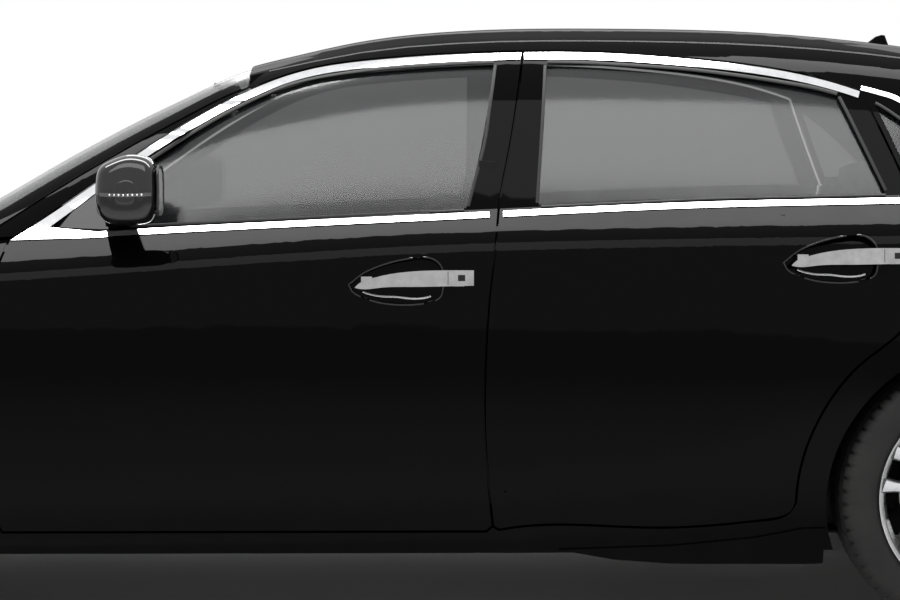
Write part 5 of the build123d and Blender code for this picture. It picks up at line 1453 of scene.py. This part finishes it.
# %% dashboard details
def dash_parts():
    body = "car_body"
    cluster = Shape().grid([[(-0.842 + 0.020 * v, y, 0.845 + 0.052 * v)
                             for v in spread(-1, 1, 4)] for y in spread(-0.515, -0.245, 8)])
    cluster.make("driver_display", body, SCREEN, thick=0.008, bevel=0.002)
    rim = Shape().bar([(-0.838, -0.525, 0.79), (-0.812, -0.525, 0.903), (-0.812, -0.235, 0.903),
                       (-0.838, -0.235, 0.79)], oval(0.012, 0.012, 6, 4), (1, 0, 0.2), closed=True)
    rim.make("display_frame", body, TRIM_BLACK)
    screen = Shape().grid([[(-0.852 + 0.012 * v, y, 0.880 + 0.070 * v) for v in spread(-1, 1, 4)]
                           for y in spread(-0.155, 0.155, 8)])
    screen.make("centre_screen", body, SCREEN, thick=0.012, bevel=0.003)
    foot = Shape().box((-0.900, -0.05, 0.80), (-0.858, 0.05, 0.87))
    foot.make("screen_foot", body, TRIM_BLACK, bevel=0.004)
    for i, y in enumerate((-0.640, -0.175, 0.175, 0.640)):
        vent = Shape()
        w = 0.055 if abs(y) > 0.3 else 0.048
        outline = oval(2 * w, 0.052, 20, 5)
        vent.bar([(-0.850 + 0.06 * v, y + u, 0.745 + v) for u, v in outline],
                 oval(0.006, 0.010, 6), (1, 0, 0), closed=True)
        for v in spread(-0.016, 0.016, 4):
            vent.bar([(-0.853, y - w * 0.92, 0.745 + v), (-0.853, y + w * 0.92, 0.745 + v)],
                     oval(0.014, 0.0022, 6, 4), (0, 0, 1))
        vent.make(f"air_vent_{i}", body, SATIN)
    line = [(x, y, 0.690) for x, y in ((-0.841, -0.735), (-0.8405, -0.30), (-0.8405, 0.30),
                                       (-0.841, 0.735))]
    trim = Shape().bar(flow(line, 0.05), oval(0.016, 0.005, 8, 4), (1, 0, 0))
    trim.make("dash_trim", body, SATIN)
    stitch = Shape()
    for y in spread(-0.73, 0.73, 109):
        stitch.bar([(-0.8865, y, 0.8625), (-0.8865, y + 0.008, 0.8625)], oval(0.0016, 0.0016, 4),
                   (0, 0, 1))
    stitch.make("dash_stitching", body, THREAD)
    box_line = Shape().bar([(-0.8460, 0.26, 0.672), (-0.8460, 0.66, 0.672), (-0.868, 0.66, 0.646),
                            (-0.868, 0.26, 0.646)], oval(0.002, 0.002, 4), (1, 0, 0), closed=True)
    box_line.make("glovebox_seam", body, SEAL)
    panel = Shape().grid([[(-0.826 + 0.036 * t, y, 0.758 - 0.118 * t)
                           for y in spread(-0.09, 0.09, 6)] for t in spread(0, 1, 6)])
    panel.make("climate_panel", body, BLACK_GLOSS, thick=0.004, bevel=0.001)
    knobs = Shape()
    for y in (-0.062, 0.062):
        knobs.turned((-0.805, y, 0.705), [(0.0, 0.020), (0.015, 0.020), (0.017, 0.017),
                                          (0.018, 0.0), (0.0, 0.0)], 32, (0.95, 0, 0.3))
    for y in spread(-0.040, 0.040, 5):
        knobs.box((-0.806, y - 0.006, 0.700), (-0.796, y + 0.006, 0.712))
    knobs.make("climate_knobs", body, SATIN, bevel=0.001)
    console = Shape().grid([[(x, y, 0.5315) for y in spread(-0.088, 0.088, 4)]
                            for x in spread(-0.56, -0.335, 8)])
    console.make("console_top", body, BLACK_GLOSS, thick=0.003)
    lever = Shape()
    profile = [(0.0, 0.085), (0.016, 0.083), (0.022, 0.070), (0.020, 0.050), (0.010, 0.034),
               (0.008, 0.012), (0.024, 0.004), (0.026, 0.0), (0.0, 0.0)]
    lever.turned((-0.440, 0.0, 0.530), profile, 28, (-0.12, 0, 1))
    lever.make("gear_selector", body, LEATHER)
    wells = Shape()
    for y in (-0.044, 0.044):
        wells.turned((-0.360, y, 0.532), [(0.036, 0.002), (0.040, 0.002), (0.041, -0.001),
                                          (0.036, -0.002), (0.036, 0.002)], 36, (0, 0, 1))
    wells.make("cup_rings", body, CHROME)
    pad("console_armrest", body, LEATHER, (-0.120, 0.0, 0.592), (0.186, 0.330, 0.034), 0.0,
        crown=0.008, power=6.0)
    pedals = Shape()
    for y, w, z in ((-0.300, 0.045, 0.330), (-0.395, 0.075, 0.345)):
        pedals.box((-0.965, y - w / 2, z - 0.045), (-0.955, y + w / 2, z + 0.045))
        pedals.bar([(-0.962, y, z + 0.04), (-1.000, y, z + 0.16), (-1.04, y, z + 0.27)],
                   oval(0.014, 0.010, 8), (0, 1, 0))
        for k in range(4):
            pedals.box((-0.9555, y - w / 2 + 0.005, z - 0.034 + 0.020 * k),
                       (-0.9525, y + w / 2 - 0.005, z - 0.026 + 0.020 * k))
    pedals.make("pedals", body, TRIM_BLACK, bevel=0.001)


dash_parts()

# %% [markdown]
# The steering wheel turns about its raked column. Its rim is leather over a ring, thicker at
# the grips, with three spokes, a padded centre and small switch pads.

# %% steering wheel
HUB, RAKE = Vector((-0.690, -0.380, 0.800)), math.radians(68.0)
AXLE = Vector((math.sin(RAKE), 0, math.cos(RAKE)))
OVER, ACROSS = Vector((-math.cos(RAKE), 0, math.sin(RAKE))), Vector((0, 1, 0))


def on_wheel(u, v, w):
    """A spot on the steering wheel: u across, v toward its top, w toward the driver."""
    return HUB + ACROSS * u + OVER * v + AXLE * w


def steering_parts():
    rows = []
    for i in range(96):
        t = 2 * math.pi * i / 96
        grip = 0.0150 + 0.0022 * math.exp(-((math.sin(t) - 0.45) / 0.25) ** 2)
        flat = 0.178 - (0.012 * max(0, -math.sin(t) - 0.75) / 0.25)
        row = []
        for j in range(14):
            a = 2 * math.pi * j / 14
            r = flat + grip * 0.92 * math.cos(a)
            row.append(on_wheel(r * math.cos(t), r * math.sin(t), grip * math.sin(a) * 1.02))
        rows.append(row)
    ring = Shape().grid(rows, around=True, across=True)
    rim = ring.make("wheel_rim", "steering", LEATHER)
    spokes = Shape()
    for ang, wide in ((0, 0.034), (180, 0.034), (270, 0.026)):
        t = math.radians(ang)
        d = Vector((math.cos(t), math.sin(t)))
        n = Vector((-d.y, d.x))
        rows = []
        for k in range(7):
            r = 0.045 + 0.125 * k / 6
            half = wide * (0.5 + 0.35 * (1 - k / 6))
            rows.append([on_wheel(d.x * r + n.x * half * u, d.y * r + n.y * half * u,
                                  0.004 + 0.010 * (1 - k / 6) + w) for u, w in
                         ((-1, -0.005), (-0.8, 0.004), (0, 0.006), (0.8, 0.004), (1, -0.005),
                          (0.7, -0.012), (-0.7, -0.012))])
        spokes.grid(rows, across=True, caps=True)
    spokes.make("wheel_spokes", "steering", SATIN)
    rows = []
    for r, w in ((0.0, 0.026), (0.35, 0.0255), (0.7, 0.023), (0.92, 0.016), (1.0, 0.004),
                 (0.98, -0.012), (0.8, -0.020), (0.0, -0.020)):
        row = []
        for i in range(28):
            t = 2 * math.pi * i / 28
            c, s = math.cos(t), math.sin(t)
            u = math.copysign(abs(c) ** 0.7, c) * 0.070 * r
            v = math.copysign(abs(s) ** 0.7, s) * 0.055 * r - (0.006 * r if s < 0 else 0)
            row.append(on_wheel(u, v, w))
        rows.append(row)
    Shape().grid(rows, across=True).make("wheel_centre_pad", "steering", DASH, sharp=60)
    keys = Shape()
    for u in (-0.098, 0.098):
        for v in (-0.012, 0.0, 0.012):
            c1 = [on_wheel(u + p * 0.015, v + q * 0.0045, 0.0150) for p, q in
                  ((-1, -1), (1, -1), (1, 1), (-1, 1))]
            keys.slab(c1, (0, 0, 0), AXLE * 0.0035)
    keys.make("wheel_switches", "steering", BLACK_GLOSS, bevel=0.0008)
    shaft = Shape().turned(HUB, [(0.0, -0.010), (0.017, -0.012), (0.0175, -0.180),
                                 (0.0, -0.180)], 28, AXLE)
    shaft.make("steering_shaft", "steering", CHASSIS)
    profile = [(0.024, 0.0), (0.046, -0.004), (0.050, -0.050), (0.048, -0.120), (0.024, -0.120),
               (0.024, 0.0)]
    shroud = Shape().turned(HUB - AXLE * 0.035, profile, 40, AXLE)
    shroud.make("column_shroud", "car_body", TRIM_BLACK)
    stalks = Shape()
    for away in (-1, 1):
        a = on_wheel(0.045 * away, 0.012, -0.060)
        b = on_wheel(0.150 * away, 0.030, -0.052)
        stalks.bar([a, a.lerp(b, 0.5), b], lambda t: oval(0.012 + 0.004 * t, 0.009, 10), AXLE)
    stalks.make("column_stalks", "car_body", TRIM_BLACK, bevel=0.001)
    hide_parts("steering_wheel")


steering_parts()
print("cabin dressed")

# %% [markdown]
# With the bonnet up you see an engine cover with ribs, the battery, a coolant bottle, domed
# suspension towers, the radiator with its hoses, and a quilted pad under the bonnet itself.

# %% engine bay
def engine_bay():
    body = "car_body"
    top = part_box("engine_block")[1].z
    rows = []
    for x in spread(-1.955, -1.315, 32):
        row = []
        for y in spread(-0.262, 0.262, 36):
            e = min(1, (x + 1.965) / 0.03, (-1.305 - x) / 0.03, (0.272 - abs(y)) / 0.03)
            ribbed = abs(y) < 0.17 and -1.88 < x < -1.40 and int((y + 0.17) / 0.034) % 2 == 0
            row.append((x, y, top + 0.004 + 0.034 * max(0, e) ** 0.5 + (0.006 if ribbed else 0)
                        - 0.020 * (x + 1.635) ** 2))
        rows.append(row)
    Shape().grid(rows).make("engine_cover", body, TRIM_BLACK, thick=0.005, sharp=50)
    cap = Shape().turned((-1.50, 0.205, top + 0.036), [(0.0, 0.022), (0.020, 0.021), (0.024, 0.016),
                                                       (0.024, 0.0), (0.0, 0.0)], 30, (0, 0, 1))
    cap.box((-1.523, 0.201, top + 0.055), (-1.477, 0.209, top + 0.068))
    cap.make("oil_filler_cap", body, BLACK_GLOSS, bevel=0.001)
    battery = Shape().box((-2.215, 0.385, 0.5105), (-2.020, 0.600, 0.690))
    battery.box((-2.220, 0.380, 0.672), (-2.015, 0.605, 0.688))
    for y in (0.425, 0.560):
        battery.turned((-2.060, y, 0.690), [(0.0, 0.018), (0.008, 0.018), (0.009, 0.0),
                                            (0.0, 0.0)], 16, (0, 0, 1))
    battery.make("battery", body, TRIM_BLACK, bevel=0.004)
    bottle = Shape()
    bottle.box((-2.200, -0.600, 0.5105), (-2.050, -0.400, 0.640))
    bottle.box((-2.190, -0.590, 0.640), (-2.060, -0.450, 0.668))
    bottle.make("coolant_bottle", body, MILKY, bevel=0.012)
    lid = Shape().turned((-2.120, -0.520, 0.668), [(0.0, 0.024), (0.022, 0.022), (0.027, 0.018),
                                                   (0.027, 0.0), (0.0, 0.0)], 24, (0, 0, 1))
    lid.make("coolant_cap", body, TRIM_BLACK)
    for hand, side in HANDS:
        tower = Shape().turned((-1.595, side * 0.600, 0.744), [
            (0.0, 0.052), (0.016, 0.052), (0.018, 0.044), (0.052, 0.040), (0.066, 0.026),
            (0.072, 0.000), (0.0, 0.000)], 48, (0, 0, 1))
        for k in range(3):
            t = 2 * math.pi * k / 3
            tower.turned((-1.595 + 0.038 * math.cos(t), side * 0.6 + 0.038 * math.sin(t), 0.784),
                         [(0.0, 0.012), (0.006, 0.012), (0.007, 0.0), (0.0, 0.0)], 6, (0, 0, 1))
        tower.make(f"suspension_tower_{hand}", body, CHASSIS)
    radiator = Shape()
    for z in spread(0.335, 0.625, 46):
        radiator.box((-2.296, -0.360, z), (-2.262, 0.360, z + 0.0022))
    for y in (-0.385, 0.365):
        radiator.box((-2.300, y, 0.322), (-2.258, y + 0.020, 0.642))
    radiator.box((-2.300, -0.385, 0.636), (-2.258, 0.385, 0.650))
    radiator.box((-2.300, -0.385, 0.316), (-2.258, 0.385, 0.332))
    radiator.make("radiator", body, ALLOY_DARK)
    fan = Shape()
    for y in (-0.18, 0.18):
        fan.turned((-2.235, y, 0.480), [(0.135, -0.018), (0.142, -0.018), (0.144, 0.012),
                                        (0.137, 0.012), (0.135, -0.018)], 60, (1, 0, 0))
        for k in range(7):
            t = 2 * math.pi * k / 7
            a = Vector((-2.235, y + 0.03 * math.cos(t), 0.480 + 0.03 * math.sin(t)))
            b = Vector((-2.232, y + 0.130 * math.cos(t + 0.3), 0.480 + 0.130 * math.sin(t + 0.3)))
            fan.bar([a, a.lerp(b, 0.5), b], lambda q: oval(0.040 + 0.012 * q, 0.004, 8),
                    (0.8, 0.3 * math.sin(t), -0.3 * math.cos(t)))
        fan.turned((-2.235, y, 0.480), [(0.0, 0.016), (0.032, 0.012), (0.036, -0.014),
                                        (0.0, -0.014)], 32, (1, 0, 0))
    fan.make("radiator_fans", body, TRIM_BLACK)
    hoses = Shape()
    hoses.tube(flow([(-2.262, 0.250, 0.610), (-2.215, 0.250, 0.640), (-2.130, 0.220, 0.690),
                     (-2.020, 0.190, 0.690), (-1.975, 0.180, 0.680)]), 0.020, 16)
    hoses.tube(flow([(-2.262, -0.280, 0.380), (-2.200, -0.275, 0.400), (-2.080, -0.240, 0.440),
                     (-1.975, -0.220, 0.450)]), 0.019, 16)
    hoses.make("coolant_hoses", body, SEAL)
    intake = Shape().tube(flow([(-2.180, 0.050, 0.700), (-2.080, 0.040, 0.735),
                                (-1.990, 0.020, 0.770), (-1.900, 0.000, 0.800)]), 0.034, 20)
    intake.make("intake_pipe", body, TRIM_BLACK)
    slam = [[(x, y, 0.665 + 0.010 * (1 - (y / 0.5) ** 2) + (0.010 if x > -2.23 else 0))
             for y in spread(-0.500, 0.500, 24)] for x in spread(-2.305, -2.195, 6)]
    Shape().grid(slam).make("front_cross_panel", body, TRIM_BLACK, thick=0.004)
    latch = Shape().box((-2.262, -0.030, 0.680), (-2.228, 0.030, 0.696))
    latch.make("bonnet_latch", body, STEEL, bevel=0.002)


engine_bay()


def under_panel(name, node, body, xs, ys, low, quilt, finish):
    """Pad fixed to the inner face of a lid, quilted in squares, pulled in at its edges."""
    rows = []
    for i, x in enumerate(xs):
        row = []
        for j, y in enumerate(ys):
            hit = touch([node], (x, y, low), (0, 0, 1))
            z = hit[0].z if hit else None
            if z is None:
                z = rows[-1][j][2] if rows else low
            edge = 1.0 if 0 < i < len(xs) - 1 and 0 < j < len(ys) - 1 else 0.0
            puff = abs(math.sin(x * quilt) * math.sin(y * quilt)) ** 0.5
            row.append((x, y, z - 0.003 - edge * (0.004 + 0.006 * puff)))
        rows.append(row)
    Shape().grid(rows).make(name, body, finish, thick=0.002, sharp=80)


under_panel("bonnet_pad", "hood", "hood", spread(-2.140, -1.520, 48), spread(-0.600, 0.600, 72),
            0.60, 26.0, CARPET)
under_panel("boot_lid_lining", "boot_lid", "boot_lid", spread(1.905, 2.320, 30),
            spread(-0.500, 0.500, 48), 0.95, 10.0, CARPET)

# %% [markdown]
# Seen from below: coil springs and dampers at the rear and an anti-roll bar in front. Along
# the body, the seam of the fuel flap and the sill plates finish it.

# %% springs, bars, flap and sill plates
def coil(shape, centre, r, wire, z0, z1, turns):
    line = []
    for i in range(turns * 20 + 1):
        t = 2 * math.pi * i / 20
        line.append((centre[0] + r * math.cos(t), centre[1] + r * math.sin(t),
                     z0 + (z1 - z0) * i / (turns * 20)))
    shape.bar(line, oval(2 * wire, 2 * wire, 8), (0, 0, 1))


for hand, side in HANDS:
    spring = Shape()
    coil(spring, (1.405, side * 0.520), 0.052, 0.0065, 0.276, 0.588, 6)
    spring.make(f"rear_spring_{hand}", "car_body", CHASSIS)
    damper = Shape().tube([(1.215, side * 0.560, 0.275), (1.215, side * 0.553, 0.430)], 0.022, 18)
    damper.tube([(1.215, side * 0.553, 0.430), (1.215, side * 0.545, 0.588)], 0.009, 12)
    damper.make(f"rear_damper_{hand}", "car_body", STEEL)
    plate_rows = []
    for x in spread(-0.960, 0.040, 24):
        hit = touch(["body_sides"], (x, side * 0.790, 0.62), (0, 0, -1))
        z = hit[0].z if hit else 0.33
        plate_rows.append([(x, side * y, z + 0.0015) for y in (0.768, 0.775, 0.805, 0.812)])
    Shape().grid(plate_rows).make(f"sill_plate_{hand}", "car_body", SATIN, thick=0.0015)
half_bar = [(-1.470, 0.430), (-1.455, 0.400), (-1.425, 0.360)]
roll_line = [(x, -y, 0.262) for x, y in half_bar] + [(-1.425, 0.0, 0.262)]
roll_line += [(x, y, 0.262) for x, y in half_bar[::-1]]
roll_bar = Shape().tube(flow(roll_line), 0.012, 12)
roll_bar.make("anti_roll_bar", "car_body", CHASSIS)
loop = [(1.700 + u, 0.850 + v) for u, v in oval(0.160, 0.150, 28, 5)]
spots = draped(["body_sides"], loop, 1)
Shape().bar([p for p, _ in spots], oval(0.0028, 0.0012, 6), [n for _, n in spots],
            closed=True).make("fuel_flap_seam", "car_body", SEAL)
print("engine bay and underbody")

# %% [markdown]
# The room is plain: a pale floor, a white surround that the camera, metal and glass can see,
# and three wide soft lamps at a level where a colour renders about as it is written.

# %% room, lamps and camera
def floor_finish():
    f = Finish("pale_floor", Roughness=0.7, Specular_IOR_Level=0.2)
    f.set(Base_Color=f.ramp(f.noise(0.8, 3.0), (0.3, grey(0.80)), (0.7, grey(0.83))))
    return f.mat


def room():
    mesh = bpy.data.meshes.new("studio_floor")
    far = 40.0
    mesh.from_pydata([(-far, -far, 0), (far, -far, 0), (far, far, 0), (-far, far, 0)], [],
                     [(0, 1, 2, 3)])
    mesh.materials.append(floor_finish())
    floor = bpy.data.objects.new("studio_floor", mesh)
    bpy.context.scene.collection.objects.link(floor)
    world = bpy.data.worlds.new("white_surround")
    bpy.context.scene.world = world
    world.use_nodes = True
    tree = world.node_tree
    back = tree.nodes["Background"]
    path = tree.nodes.new("ShaderNodeLightPath")
    seen = Val(tree, path.outputs["Is Camera Ray"])
    for name in ("Is Glossy Ray", "Is Transmission Ray"):
        seen = seen.sum("MAXIMUM", seen, Val(tree, path.outputs[name]))
    tree.links.new((seen * 0.45 + 0.55).socket, back.inputs["Strength"])
    back.inputs["Color"].default_value = grey(1.0)


def soft_lamp(name, size, power, place, aim):
    data = bpy.data.lights.new(name, "AREA")
    data.shape, data.size, data.size_y, data.energy = "RECTANGLE", size[0], size[1], power
    lamp = bpy.data.objects.new(name, data)
    lamp.location = place
    lamp.rotation_euler = (Vector(aim) - Vector(place)).to_track_quat("-Z", "Y").to_euler()
    bpy.context.scene.collection.objects.link(lamp)


room()
soft_lamp("overhead_softbox", (6.5, 0.9), 260, (0.0, 0.25, 4.4), (0, 0.25, 0))
soft_lamp("front_softbox", (6.5, 3.4), 230, (-0.2, -4.6, 5.4), (0, 0, 1.1))
soft_lamp("back_softbox", (6.0, 1.8), 100, (1.0, 6.0, 3.6), (0, 0, 0.8))

camera = bpy.data.objects.new("side_camera", bpy.data.cameras.new("side_camera"))
camera.data.lens, camera.data.sensor_width = 102.5, 36.0
camera.location = (-0.025, -7.0, 1.189)
camera.rotation_euler = (math.radians(90 - 3.46), 0.0, math.radians(-0.45))
bpy.context.scene.collection.objects.link(camera)
bpy.context.scene.camera = camera
bpy.context.scene.view_settings.view_transform = "Standard"
